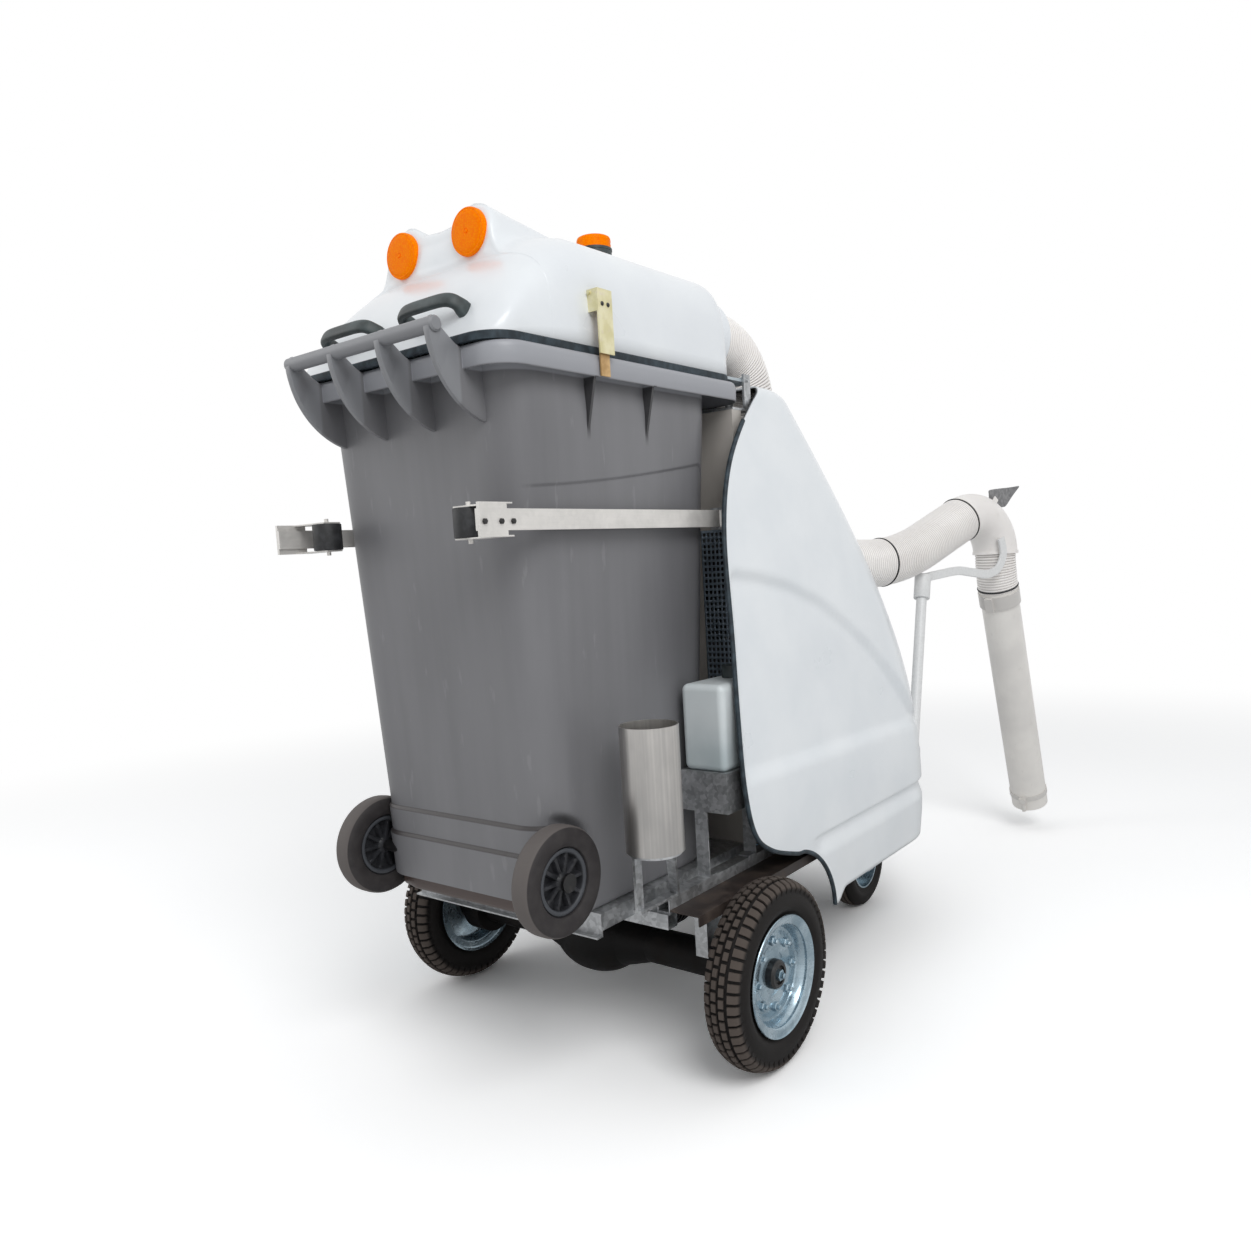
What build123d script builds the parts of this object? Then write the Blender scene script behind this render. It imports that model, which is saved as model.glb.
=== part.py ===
from build123d import *
import math
import os

# A walk-behind litter vacuum that carries a wheeled bin, in millimetres.
# X is the machine's right, Y is forward, Z is up, and the ground is Z zero.
# The origin is on the ground, in the middle of the overall length and width.

# Fits
running_fit = 0.05
seat_gap = 0.3
side_gap = 1.0

# Stations along the machine
bin_axle_y = -1089.75
rear_axle_y = bin_axle_y + 390.0
bulkhead_y = bin_axle_y + 605.0
hinge_y = bin_axle_y + 672.0
caster_pivot_y = bin_axle_y + 1250.0

# Rear wheels
tyre_radius = 190.0
tyre_width = 86.0
wheel_outer_x = 481.0
rim_seat_radius = 102.0
rim_flange_radius = 121.0
rim_wall = 4.0
half_shaft_radius = 17.5
bead_inset = 13.0
crown_drop = 10.0
shoulder_step = 4.0
disc_wall = 6.0
disc_out = 4.0
hub_radius = 38.0
hub_length = 34.0
hub_out = 14.0
hub_cap_radius = 24.0
hub_cap_length = 14.0
hub_cap_bite = 4.0
wheel_bolts = 8
bolt_circle_radius = 68.0
bolt_radius = 7.5
bolt_length = 14.0

# Chassis of square tube
tube = 30.0
tube_wall = 2.5
rail_x = 303.0
rail_z = 340.0
rail_rear_y = bin_axle_y + 234.0
rail_front_y = bin_axle_y + 1390.0
cross_length = 2 * rail_x + tube
cross_proud = 8.0
saddle_half = 35.0
sheet = 3.0
platform_half = 258.0
platform_rear = bin_axle_y + 100.0
lip_drop = 42.0
lip_flange = 14.0

# Transaxle
axle_tube_radius = 38.0
diff_radius = 85.0
diff_round = (51.0, 76.5)
diff_shoulder = (85.0, 58.0)
diff_reach = 153.0
neck_radius = 52.0
neck_past_case = 15.0
brake_radius = 62.0
brake_width = 50.0
drum_gap = 12.0
shaft_bite = 40.0
shaft_end_gap = 5.0
motor_radius = 68.0
motor_length = 190.0
motor_fins = 9
motor_fin = 8.0
motor_fin_pitch = 18.0
motor_fin_depth = 4.0
motor_fin_start = 24.0

# Casters
caster_x = 197.0
caster_trail = 45.0
front_tyre_radius = 125.0
front_tyre_width = 70.0
front_rim_radius = 72.0
front_bead_inset = 6.0
front_shoulder_inset = 8.0
front_crown_drop = 6.0
fork_wall = 6.0
front_axle_radius = 8.0
kingpin_radius = 12.0
post_radius = 29.0
nut_radius = 20.0
nut_height = 12.0
crown_rear = 34.0
crown_front = 42.0
crown_gap = 12.0
fork_gap = 5.0
fork_foot_half = 16.0
fork_foot_drop = 18.0
axle_nut = 8.0
rim_hub_wall = 16.0
beam_thick = 12.0
beam_half = 50.0

# Bin of 240 litres
bin_wall = 5.0
bin_height = 1019.0
bin_base_half = 240.0
bin_top_half = 262.0
bin_base_rear = 2.0
bin_base_front = 498.0
bin_top_rear = -51.0
bin_top_front = 575.0
bin_corner = 75.0
rim_half = 290.0
rim_rear = -90.0
rim_front = 652.0
rim_drop = 45.0
rim_plate = 8.0
rim_skirt = 5.0
rim_corner = 60.0
bin_axle_z = 466.0
bin_axle_radius = 11.0
axle_washer = 6.0
axle_washer_wall = 6.0
axle_tunnel = 26.0
pocket_gap = 10.0
pocket_side_gap = 5.0
bin_wheel_radius = 100.0
bin_wheel_width = 46.0
bin_wheel_outer_x = 273.0
bin_wheel_round = 12.0
bin_spokes = 10
spoke_circle = 42.0
spoke_pocket = (38.0, 13.0, 13.0)
grip_radius = 13.0
grip_half = 200.0
grip_back = 144.0
grip_up = 25.0
fin_wall = 12.0
fin_height = 120.0
fin_bow = (22.0, 30.0)

# Hood
hood_wall = 5.0
seal_height = 6.0
seal_width = 11.0
hood_half = 280.0
hood_rear = -95.0
hood_front = 635.0
hood_crown = 235.0
hood_corner = 60.0
pod_x = 93.0
pod_radius = 52.0
pod_up = 228.0
pod_station = 52.0
reflector_radius = 44.0
reflector_depth = 11.0
reflector_round = 5.0
ring_wall = 7.0
ring_length = 60.0
ring_proud = 9.0
seal_inset = 2.0
beacon_radius = 46.0
beacon_station = 512.0
beacon_base_height = 40.0
beacon_foot = 6.0
beacon_foot_wall = 8.0
beacon_height = 64.0
beacon_inset = 2.0
beacon_round = 24.0
handle_x = 113.0
handle_up = 66.0
handle_half = 78.0
handle_rise = 40.0
handle_depth = 28.0
handle_bar = 14.0
handle_leg = 24.0
handle_draft = 12.0
handle_inner_draft = 8.0
hinge_x = 255.0
hinge_pin_radius = 4.0
knuckle_radius = 9.0
leaf_width = 40.0
leaf_length = 90.0
leaf_wall = 6.0
hinge_ear = 5.0
hinge_foot = 80.0
ear_reach = 13.0
brow_saddle = 25.0
brow_depth = 84.0
brow_end_radius = 26.0
brow_length = 300.0
brow_fall = 24.0

# Toggle latches
latch_station = 165.0
latch_up = 99.0
latch_inset = 6.0
latch_plate = 3.0
latch_cheek = 2.0
latch_length = 112.0
latch_head = 6.0
base_root = 40.0
base_gap = 6.5
base_drop = 40.0
base_rise = 8.0
ear_round = 6.0
strap_width = 25.0
strap_thick = 3.0
strap_eye_radius = 4.0
strap_pin_radius = 2.0
strap_out = 4.5
strap_drop = 27.0
strap_hold = 6.0
latch_pin_radius = 3.0

# Bin-retaining arms
arm_z = 1101.0
arm_height = 35.0
arm_thick = 10.0
arm_gap = 18.0
arm_pin_radius = 6.0
arm_pivot_station = 545.0
eye_wall = 9.0
roller_radius = 27.0
roller_height = 50.0
roller_round = 2.0
roller_pin_radius = 4.0
roller_gap = 35.0
roller_x = 199.0
end_plate_station = -155.0
end_plate_length = 61.0
end_plate = 6.0
tab_wall = 2.5
tab_half = 18.0
pin_proud = 7.0
pivot_plate = 5.0
pivot_side_gap = 6.0

# Cover
cover_wall = 5.0
cover_bottom_z = 212.0
cover_top_z = 1400.0
cover_top_half = 285.0
cover_bottom_half = 412.0
cover_top_front = 915.0
cover_belly = 582.0
cover_belly_turn = 107.0
cover_back = 380.0
cover_overrun = 20.0
cover_levels = 9
cover_corner_top = 150.0
cover_corner_bottom = 280.0
trim_width = 7.0
trim_proud = 2.0

# Hoses and wand
hose_radius = 69.0
hose_root = 65.0
hose_bore = 61.0
rib_pitch = 12.0
top_hose_x = 180.0
top_hose_bend = 140.0
hose_port_up = 102.0
hose_start_x = 135.0
hose_start_station = 1150.0
hose_sag_x = 258.0
hose_sag_station = 1500.0
hose_sag_drop = 15.0
hose_end_x = 347.0
hose_end_station = 1800.0
hose_end_rise = 108.0
wand_radius = 59.0
wand_wall = 4.0
wand_length = 830.0
wand_lean = 21.0
collar_drop = 8.0
collar_height = 46.0
collar_wall = 5.0
collar_lug = 24.0
band_up = 58.0
band_wall = 3.0
band_height = 18.0
band_block = 20.0
nozzle_radius = 7.0
nozzle_length = 34.0
elbow_bend = 125.0
elbow_proud = 2.0
elbow_ring = 10.0
elbow_ring_wall = 2.5
cuff_length = 112.0
cuff_crest = 62.0
cuff_root = 58.0
cuff_bore = 54.0
lever_angle = 50.0
lever_pin = (-18.0, 14.0)
lever_pin_radius = 3.0
lever_width = 10.0
lever_eye_wall = 6.0
lever_outline = ((-32.0, 8.0), (32.0, 8.0), (22.0, 62.0), (12.0, 62.0))
lever_ear = 20.0
lever_ear_wall = 4.0
lever_ear_root = 8.0
rod_radius = 15.0
rod_foot_x = 330.0
rod_foot_station = 1410.0
rod_foot_z = 440.0
rod_foot_turn = 48.0
rod_foot_block = (70.0, 90.0, 46.0)
rod_top_x = 300.0
rod_top_station = 1585.0
rod_top_z = 880.0
sleeve_radius = 23.5
sleeve_length = 130.0
sleeve_cap = 8.0
bar_drop = 12.0
hook_up = 26.0
hook_sag = 16.0
hook_lean = (4.0, 14.0)
carrier_width = 34.0
carrier_bend = 55.0
carrier_gap = 0.6
carrier_thick = 8.0

# Splash guards, battery and control unit
guard_gap = 8.0
guard_front = 800.0
guard_up = 4.0
guard_lip = 18.0
battery_back = 60.0
battery_depth = 290.0
battery_height = 225.0
battery_half = 313.0
battery_round = 10.0
battery_cells = 4
seam_width = 4.0
seam_depth = 6.0
unit_inset = 60.0
unit_width = 180.0
unit_height = 70.0
unit_ribs = 7
unit_rib = 8.0
unit_rib_height = 18.0

# Blower
fan_x = 80.0
fan_z = 985.0
fan_case_radius = 170.0
fan_case_depth = 140.0
fan_wall = 4.0
fan_blades = 8
fan_motor_radius = 72.0
fan_motor_length = 147.0
fan_shaft_radius = 10.0
fan_shaft_bite = 45.0
fan_shaft_gap = 3.0
fan_hub_radius = 24.0
fan_hub_length = 50.0
fan_disc = 6.0
fan_tip_gap = 34.0
fan_back_gap = 12.0
fan_eye_gap = 60.0
fan_blade = 5.0

# Water tank and tool tube
tank_x = 315.0
tank_half = 51.0
tank_rear = 380.0
tank_front = 555.0
tank_base_z = 590.0
tank_top_z = 767.0
tank_round = 14.0
tank_neck_radius = 18.0
tank_neck_height = 20.0
tank_neck_back = 125.0
cap_wall = 6.0
tray_margin = 4.0
tray_drop = 83.0
tray_leg = 30.0
tool_radius = 54.5
tool_wall = 2.5
tool_x = 357.0
tool_station = 150.0
tool_base_z = 496.5
tool_height = 232.0
bracket_wall = 6.0
bracket_inset = 6.0
strut_width = 20.0
strut_lean = (14.0, 26.0)

# Worked out from the sizes above
wheel_x = wheel_outer_x - tyre_width / 2
axle_z = tyre_radius
rail_top_z = rail_z + tube
platform_z = rail_top_z + sheet
bin_top_z = platform_z + bin_height
hood_z = bin_top_z + seal_height
hinge_z = hood_z + 4.0
hose_port_z = hood_z + hose_port_up
hose_straight = 2 * hose_radius
pipe_top_z = hose_port_z - top_hose_bend - hose_straight
sides = (("left", -1), ("right", 1))

os.makedirs("parts", exist_ok=True)


def keep(piece, name):
    """Label a finished piece and write it under its node's name."""
    piece.part.label = name
    export_step(piece.part, f"parts/{name}.step")


def block(x, y, z, mode=Mode.ADD):
    """A box between the low and high values given for each axis."""
    centre = tuple((low + high) / 2 for low, high in (x, y, z))
    with Locations(centre):
        Box(x[1] - x[0], y[1] - y[0], z[1] - z[0], mode=mode)


def rod_x(centre, radius, length, mode=Mode.ADD):
    """A cylinder along X, about its centre."""
    with Locations(Location(centre, (0, 90, 0))):
        Cylinder(radius, length, mode=mode)


def rod_y(centre, radius, length, mode=Mode.ADD):
    """A cylinder along Y, about its centre."""
    with Locations(Location(centre, (90, 0, 0))):
        Cylinder(radius, length, mode=mode)


def rod_z(centre, radius, length, mode=Mode.ADD):
    """A cylinder along Z, about its centre."""
    with Locations(centre):
        Cylinder(radius, length, mode=mode)


def wheel_section(x, y, z):
    """The plane of a wheel's profile: across the wheel, and out from its axle."""
    return Plane(origin=(x, y, z), x_dir=(1, 0, 0), z_dir=(0, -1, 0))


# Rear wheels: block-tread tyre on a dished steel rim that is bolted to the half shaft's hub
bead = tyre_width / 2 - bead_inset
crown = tyre_radius - crown_drop
shoulder = bead + shoulder_step
bead_lip = rim_flange_radius + side_gap
for side, sign in sides:
    axle_line = Axis((0, rear_axle_y, axle_z), (1, 0, 0))
    with BuildPart() as rear_tyre:
        with BuildSketch(wheel_section(sign * wheel_x, rear_axle_y, axle_z)):
            with BuildLine():
                Line((-bead, rim_seat_radius), (bead, rim_seat_radius))
                Line((bead, rim_seat_radius), (bead, bead_lip))
                ThreePointArc(
                    (bead, bead_lip),
                    (tyre_width / 2, (rim_flange_radius + tyre_radius) / 2),
                    (shoulder, crown),
                )
                ThreePointArc((shoulder, crown), (0, tyre_radius), (-shoulder, crown))
                ThreePointArc(
                    (-shoulder, crown),
                    (-tyre_width / 2, (rim_flange_radius + tyre_radius) / 2),
                    (-bead, bead_lip),
                )
                Line((-bead, bead_lip), (-bead, rim_seat_radius))
            make_face()
        revolve(axis=axle_line)
    keep(rear_tyre, f"rear_tyre_{side}")

    seat = rim_seat_radius - seat_gap
    flange = bead + seat_gap
    shaft_end = wheel_x - brake_width - shaft_bite
    hub_cap_out = hub_out + hub_length / 2 + hub_cap_length / 2 - hub_cap_bite
    bolt_out = disc_out + bolt_length / 2 - disc_wall / 2
    with BuildPart() as rear_rim:
        with BuildSketch(wheel_section(sign * wheel_x, rear_axle_y, axle_z)):
            with Locations((0, seat - rim_wall / 2)):
                Rectangle(2 * (flange + rim_wall), rim_wall)
            with Locations(
                (flange + rim_wall / 2, (seat + rim_flange_radius) / 2 - rim_wall),
                (-flange - rim_wall / 2, (seat + rim_flange_radius) / 2 - rim_wall),
            ):
                Rectangle(rim_wall, rim_flange_radius - seat + 2 * rim_wall)
            with Locations((sign * disc_out, seat / 2)):
                Rectangle(disc_wall, seat)
            with Locations((sign * hub_out, hub_radius / 2)):
                Rectangle(hub_length, hub_radius)
            with Locations((sign * hub_cap_out, hub_cap_radius / 2)):
                Rectangle(hub_cap_length, hub_cap_radius)
        revolve(axis=axle_line)
        with Locations(Plane((sign * (wheel_x + bolt_out), rear_axle_y, axle_z), z_dir=(sign, 0, 0))):
            with PolarLocations(bolt_circle_radius, wheel_bolts):
                Cylinder(bolt_radius, bolt_length)
        shaft_middle = (sign * (wheel_x + shaft_end) / 2, rear_axle_y, axle_z)
        rod_x(shaft_middle, half_shaft_radius, wheel_x - shaft_end)
    keep(rear_rim, f"rear_rim_{side}")

# Transaxle: cast differential case with axle tubes, brake drums at its ends and a neck for the motor
drum_face = wheel_x - bead - rim_wall - drum_gap
neck_length = diff_radius + neck_past_case
with BuildPart() as transaxle:
    with BuildSketch(wheel_section(0, rear_axle_y, axle_z)):
        with BuildLine():
            Line((0, 0), (0, diff_radius))
            ThreePointArc((0, diff_radius), diff_round, diff_shoulder)
            Line(diff_shoulder, (diff_reach, axle_tube_radius))
            Line((diff_reach, axle_tube_radius), (drum_face - brake_width, axle_tube_radius))
            Line((drum_face - brake_width, axle_tube_radius), (drum_face - brake_width, brake_radius))
            Line((drum_face - brake_width, brake_radius), (drum_face, brake_radius))
            Line((drum_face, brake_radius), (drum_face, 0))
            Line((drum_face, 0), (0, 0))
        make_face()
    revolve(axis=Axis((0, rear_axle_y, axle_z), (1, 0, 0)))
    mirror(about=Plane.YZ)
    rod_y((0, rear_axle_y + neck_length / 2, axle_z), neck_radius, neck_length)
    for side, sign in sides:
        rod_x(
            (sign * drum_face, rear_axle_y, axle_z),
            half_shaft_radius + running_fit,
            2 * (drum_face - wheel_x + brake_width + shaft_bite + shaft_end_gap),
            mode=Mode.SUBTRACT,
        )
keep(transaxle, "transaxle")

# Drive motor: finned can bolted to the neck of the transaxle
with BuildPart() as drive_motor:
    motor_y = rear_axle_y + neck_length
    rod_y((0, motor_y + motor_length / 2, axle_z), motor_radius - motor_fin_depth, motor_length)
    for fin in range(motor_fins):
        fin_y = motor_y + motor_fin_start + fin * motor_fin_pitch
        rod_y((0, fin_y, axle_z), motor_radius, motor_fin)
keep(drive_motor, "drive_motor")

# Frame rails: two square tubes along the machine, open at their rear ends
with BuildPart() as frame_rails:
    for side, sign in sides:
        length_y = (rail_rear_y, rail_front_y)
        block((sign * rail_x - tube / 2, sign * rail_x + tube / 2), length_y, (rail_z, rail_top_z))
    for side, sign in sides:
        inside = tube / 2 - tube_wall
        block(
            (sign * rail_x - inside, sign * rail_x + inside),
            length_y,
            (rail_z + tube_wall, rail_top_z - tube_wall),
            mode=Mode.SUBTRACT,
        )
keep(frame_rails, "frame_rails")

# Cross tubes under the rails, and the saddles that carry the axle tubes
cross_stations = (rail_rear_y - cross_proud, bulkhead_y + sheet - tube / 2, bulkhead_y + 320.0)
with BuildPart() as frame_cross_members:
    for station in cross_stations:
        block((-cross_length / 2, cross_length / 2), (station, station + tube), (rail_z - tube, rail_z))
        inside_y = (station + tube_wall, station + tube - tube_wall)
        inside_z = (rail_z - tube + tube_wall, rail_z - tube_wall)
        block((-cross_length / 2, cross_length / 2), inside_y, inside_z, mode=Mode.SUBTRACT)
    for side, sign in sides:
        saddle_x = (sign * rail_x - tube / 2, sign * rail_x + tube / 2)
        block(saddle_x, (rear_axle_y - saddle_half, rear_axle_y + saddle_half), (axle_z + 6.0, rail_z))
        rod_x(
            (sign * rail_x, rear_axle_y, axle_z),
            axle_tube_radius + seat_gap,
            tube,
            mode=Mode.SUBTRACT,
        )
    beam_y = (caster_pivot_y - beam_half, caster_pivot_y + beam_half)
    block((-cross_length / 2, cross_length / 2), beam_y, (rail_z - beam_thick, rail_z))
    for side, sign in sides:
        kingpin = (sign * caster_x, caster_pivot_y, rail_z - beam_thick / 2)
        rod_z(kingpin, kingpin_radius + running_fit, beam_thick, mode=Mode.SUBTRACT)
keep(frame_cross_members, "frame_cross_members")

# Platform: folded sheet under the bin, with a flanged rear lip and sides that stand on the cross tubes
platform_front = bulkhead_y - side_gap
platform_x = (-platform_half, platform_half)
lip_z = rail_top_z - lip_drop
with BuildPart() as bin_platform:
    block(platform_x, (platform_rear, platform_front), (rail_top_z, platform_z))
    block(platform_x, (platform_rear, platform_rear + sheet), (lip_z, rail_top_z))
    block(platform_x, (platform_rear - lip_flange, platform_rear), (lip_z, lip_z + sheet))
    for side, sign in sides:
        low, high = sorted((sign * platform_half, sign * (platform_half - sheet)))
        block((low, high), (platform_rear, platform_front), (rail_z, rail_top_z))
keep(bin_platform, "bin_platform")

# Bulkhead: folded panel behind the bin, standing on a cross tube, with a vent window on each side
bulkhead_half = 280.0
bulkhead_top = bin_top_z - rim_drop - 12.0
window_x = (182.0, 266.0)
window_z = (560.0, 1080.0)
flange_depth = 36.0
with BuildPart() as bulkhead:
    block((-bulkhead_half, bulkhead_half), (bulkhead_y, bulkhead_y + sheet), (rail_z, bulkhead_top))
    for side, sign in sides:
        low, high = sorted((sign * bulkhead_half, sign * (bulkhead_half - sheet)))
        block((low, high), (bulkhead_y, bulkhead_y + flange_depth), (rail_top_z, bulkhead_top))
        low, high = sorted((sign * window_x[0], sign * window_x[1]))
        block((low, high), (bulkhead_y, bulkhead_y + sheet), window_z, mode=Mode.SUBTRACT)
keep(bulkhead, "bulkhead")

# Vent screens: perforated sheets seated in the windows
screen_hole = 12.0
screen_pitch = 20.0
screen_columns = 4
screen_rows = 25
with BuildPart() as vent_screen:
    for side, sign in sides:
        low, high = sorted((sign * window_x[0], sign * window_x[1]))
        screen_z = (window_z[0] + seat_gap, window_z[1] - seat_gap)
        block((low + seat_gap, high - seat_gap), (bulkhead_y, bulkhead_y + sheet), screen_z)
    for side, sign in sides:
        middle = (sign * sum(window_x) / 2, bulkhead_y + sheet / 2, sum(window_z) / 2)
        with Locations(Plane(middle, x_dir=(1, 0, 0), z_dir=(0, -1, 0))):
            with GridLocations(screen_pitch, screen_pitch, screen_columns, screen_rows):
                Box(screen_hole, screen_hole, 2 * sheet, mode=Mode.SUBTRACT)
keep(vent_screen, "vent_screen")

# Splash guards: dark sheet shelves between the rails and the rear wheels
guard_outer = wheel_x - tyre_width / 2 - guard_gap
guard_y = (rail_rear_y, bin_axle_y + guard_front)
guard_z = rail_z + guard_up
with BuildPart() as splash_guards:
    for side, sign in sides:
        low, high = sorted((sign * (rail_x + tube / 2), sign * guard_outer))
        block((low, high), guard_y, (guard_z, guard_z + sheet))
        low, high = sorted((sign * (guard_outer - sheet), sign * guard_outer))
        block((low, high), guard_y, (guard_z - guard_lip, guard_z))
keep(splash_guards, "splash_guards")

# Battery pack and control unit on the rails, under the cover
battery_y = (bulkhead_y + battery_back, bulkhead_y + battery_back + battery_depth)
battery_top = rail_top_z + battery_height
with BuildPart() as battery_pack:
    block((-battery_half, battery_half), battery_y, (rail_top_z, battery_top))
    fillet(battery_pack.edges().filter_by(Axis.Z), battery_round)
    with Locations((0, sum(battery_y) / 2, battery_top)):
        with GridLocations(2 * battery_half / battery_cells, 1.0, battery_cells - 1, 1):
            Box(seam_width, battery_depth, 2 * seam_depth, mode=Mode.SUBTRACT)
keep(battery_pack, "battery_pack")

unit_x = (-battery_half + unit_inset, -battery_half + unit_inset + unit_width)
unit_y = (battery_y[0] + unit_inset, battery_y[1] - unit_inset)
unit_top = battery_top + unit_height
rib_step = (unit_y[1] - unit_y[0]) / unit_ribs
with BuildPart() as control_unit:
    block(unit_x, unit_y, (battery_top, unit_top))
    for rib in range(unit_ribs):
        rib_start = unit_y[0] + (rib + 0.5) * rib_step - unit_rib / 2
        block(unit_x, (rib_start, rib_start + unit_rib), (unit_top, unit_top + unit_rib_height))
keep(control_unit, "control_unit")

# Blower: the motor stands on the bulkhead, the case on the motor, the outlet pipe rises to the top hose
motor_face = bulkhead_y + sheet + fan_motor_length
fan_case_y = motor_face + fan_case_depth / 2
fan_front_y = motor_face + fan_case_depth
top_hose_y = fan_case_y
with BuildPart() as blower_motor:
    rod_y((fan_x, bulkhead_y + sheet + fan_motor_length / 2, fan_z), fan_motor_radius, fan_motor_length)
    shaft_hole = (fan_x, motor_face - fan_shaft_bite / 2, fan_z)
    rod_y(shaft_hole, fan_shaft_radius + running_fit, fan_shaft_bite, mode=Mode.SUBTRACT)
keep(blower_motor, "blower_motor")

with BuildPart() as blower_housing:
    case_middle = (fan_x, fan_case_y, fan_z)
    pipe_middle = (top_hose_x, top_hose_y, (fan_z + pipe_top_z) / 2)
    pipe_length = pipe_top_z - fan_z
    rod_y(case_middle, fan_case_radius, fan_case_depth)
    rod_z(pipe_middle, hose_bore + fan_wall, pipe_length)
    rod_y(case_middle, fan_case_radius - fan_wall, fan_case_depth - 2 * fan_wall, mode=Mode.SUBTRACT)
    rod_z(pipe_middle, hose_bore, pipe_length, mode=Mode.SUBTRACT)
    rod_y((fan_x, fan_front_y, fan_z), hose_bore, 4 * fan_wall, mode=Mode.SUBTRACT)
    rod_y((fan_x, motor_face, fan_z), fan_shaft_radius + fan_shaft_gap, 4 * fan_wall, mode=Mode.SUBTRACT)
keep(blower_housing, "blower_housing")

blade_depth = fan_case_depth - fan_eye_gap
wheel_back = motor_face + fan_wall + fan_back_gap
tip_radius = fan_case_radius - fan_tip_gap
shaft_back = motor_face - fan_shaft_bite + seat_gap
with BuildPart() as blower_impeller:
    rod_y((fan_x, wheel_back + fan_disc / 2, fan_z), tip_radius, fan_disc)
    rod_y((fan_x, wheel_back + fan_hub_length / 2, fan_z), fan_hub_radius, fan_hub_length)
    rod_y((fan_x, (shaft_back + wheel_back) / 2, fan_z), fan_shaft_radius, wheel_back - shaft_back)
    blade_middle = (fan_x, wheel_back + fan_disc + blade_depth / 2, fan_z)
    blade_length = tip_radius - fan_hub_radius
    with Locations(Plane(blade_middle, x_dir=(1, 0, 0), z_dir=(0, -1, 0))):
        with PolarLocations(fan_hub_radius + blade_length / 2 - fan_wall, fan_blades):
            Box(blade_length, fan_blade, blade_depth)
keep(blower_impeller, "blower_impeller")


def ribbed_tube(path, steady, root, crest, bore):
    """A tube of ruled ribs along a path: each rib is four circles, root, crest, crest and root.

    The circles' planes keep one steady X direction, so the ribs never twist.
    """
    ribs = round(path.length / rib_pitch)
    shares = (0.08, 0.3, 0.62, 0.84)
    marks = [0.0] + [(rib + share) / ribs for rib in range(ribs) for share in shares] + [1.0]
    radii = [root] + [root, crest, crest, root] * ribs + [root]
    with BuildPart() as hose:
        for mark, radius in zip(marks, radii):
            with BuildSketch(Plane(path @ mark, x_dir=steady, z_dir=path % mark)):
                Circle(radius)
        loft(ruled=True)
    with BuildPart() as passage:
        for rib in range(ribs + 1):
            with BuildSketch(Plane(path @ (rib / ribs), x_dir=steady, z_dir=path % (rib / ribs))):
                Circle(bore)
        loft(ruled=True)
    with BuildPart() as tube_with_bore:
        add(hose.part)
        add(passage.part, mode=Mode.SUBTRACT)
    return tube_with_bore


# Top hose: from inside the hood's front wall, over and down to the blower's outlet pipe
bend_y = top_hose_y - top_hose_bend
bend_z = hose_port_z - top_hose_bend
quarter = top_hose_bend * math.sqrt(0.5)
with BuildLine() as top_path:
    Line((top_hose_x, bend_y - hose_straight, hose_port_z), (top_hose_x, bend_y, hose_port_z))
    ThreePointArc(
        (top_hose_x, bend_y, hose_port_z),
        (top_hose_x, bend_y + quarter, bend_z + quarter),
        (top_hose_x, top_hose_y, bend_z),
    )
    Line((top_hose_x, top_hose_y, bend_z), (top_hose_x, top_hose_y, pipe_top_z))
top_hose = ribbed_tube(top_path.wire(), (1, 0, 0), hose_root, hose_radius, hose_bore)
keep(top_hose, "top_hose")

# Front hose: out of the cover's front, sagging a little, then up to the elbow over the wand
hose_start = Vector(hose_start_x, bin_axle_y + hose_start_station, fan_z)
hose_sag = Vector(hose_sag_x, bin_axle_y + hose_sag_station, fan_z - hose_sag_drop)
hose_end = Vector(hose_end_x, bin_axle_y + hose_end_station, fan_z + hose_end_rise)
first_run = hose_sag - hose_start
last_run = hose_end - hose_sag
turn = first_run.get_angle(last_run)
sag_radius = 0.4 * min(first_run.length, last_run.length) / math.tan(math.radians(turn / 2))
with BuildLine() as front_path:
    FilletPolyline(hose_start, hose_sag, hose_end, radius=sag_radius)
bend_normal = first_run.cross(last_run).normalized()
front_hose = ribbed_tube(front_path.wire(), bend_normal, hose_root, hose_radius, hose_bore)
keep(front_hose, "front_hose")

# Suction duct: a tapered pipe from the hose's inner end to the eye of the blower
with BuildPart() as suction_duct:
    for wall in (fan_wall, 0.0):
        with BuildSketch(Plane((fan_x, fan_front_y, fan_z), x_dir=(1, 0, 0), z_dir=(0, 1, 0))):
            Circle(hose_bore + wall)
        with BuildSketch(Plane(hose_start, x_dir=(0, 0, -1), z_dir=first_run)):
            Circle(hose_bore + wall)
        loft(mode=Mode.ADD if wall else Mode.SUBTRACT)
keep(suction_duct, "suction_duct")


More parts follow.
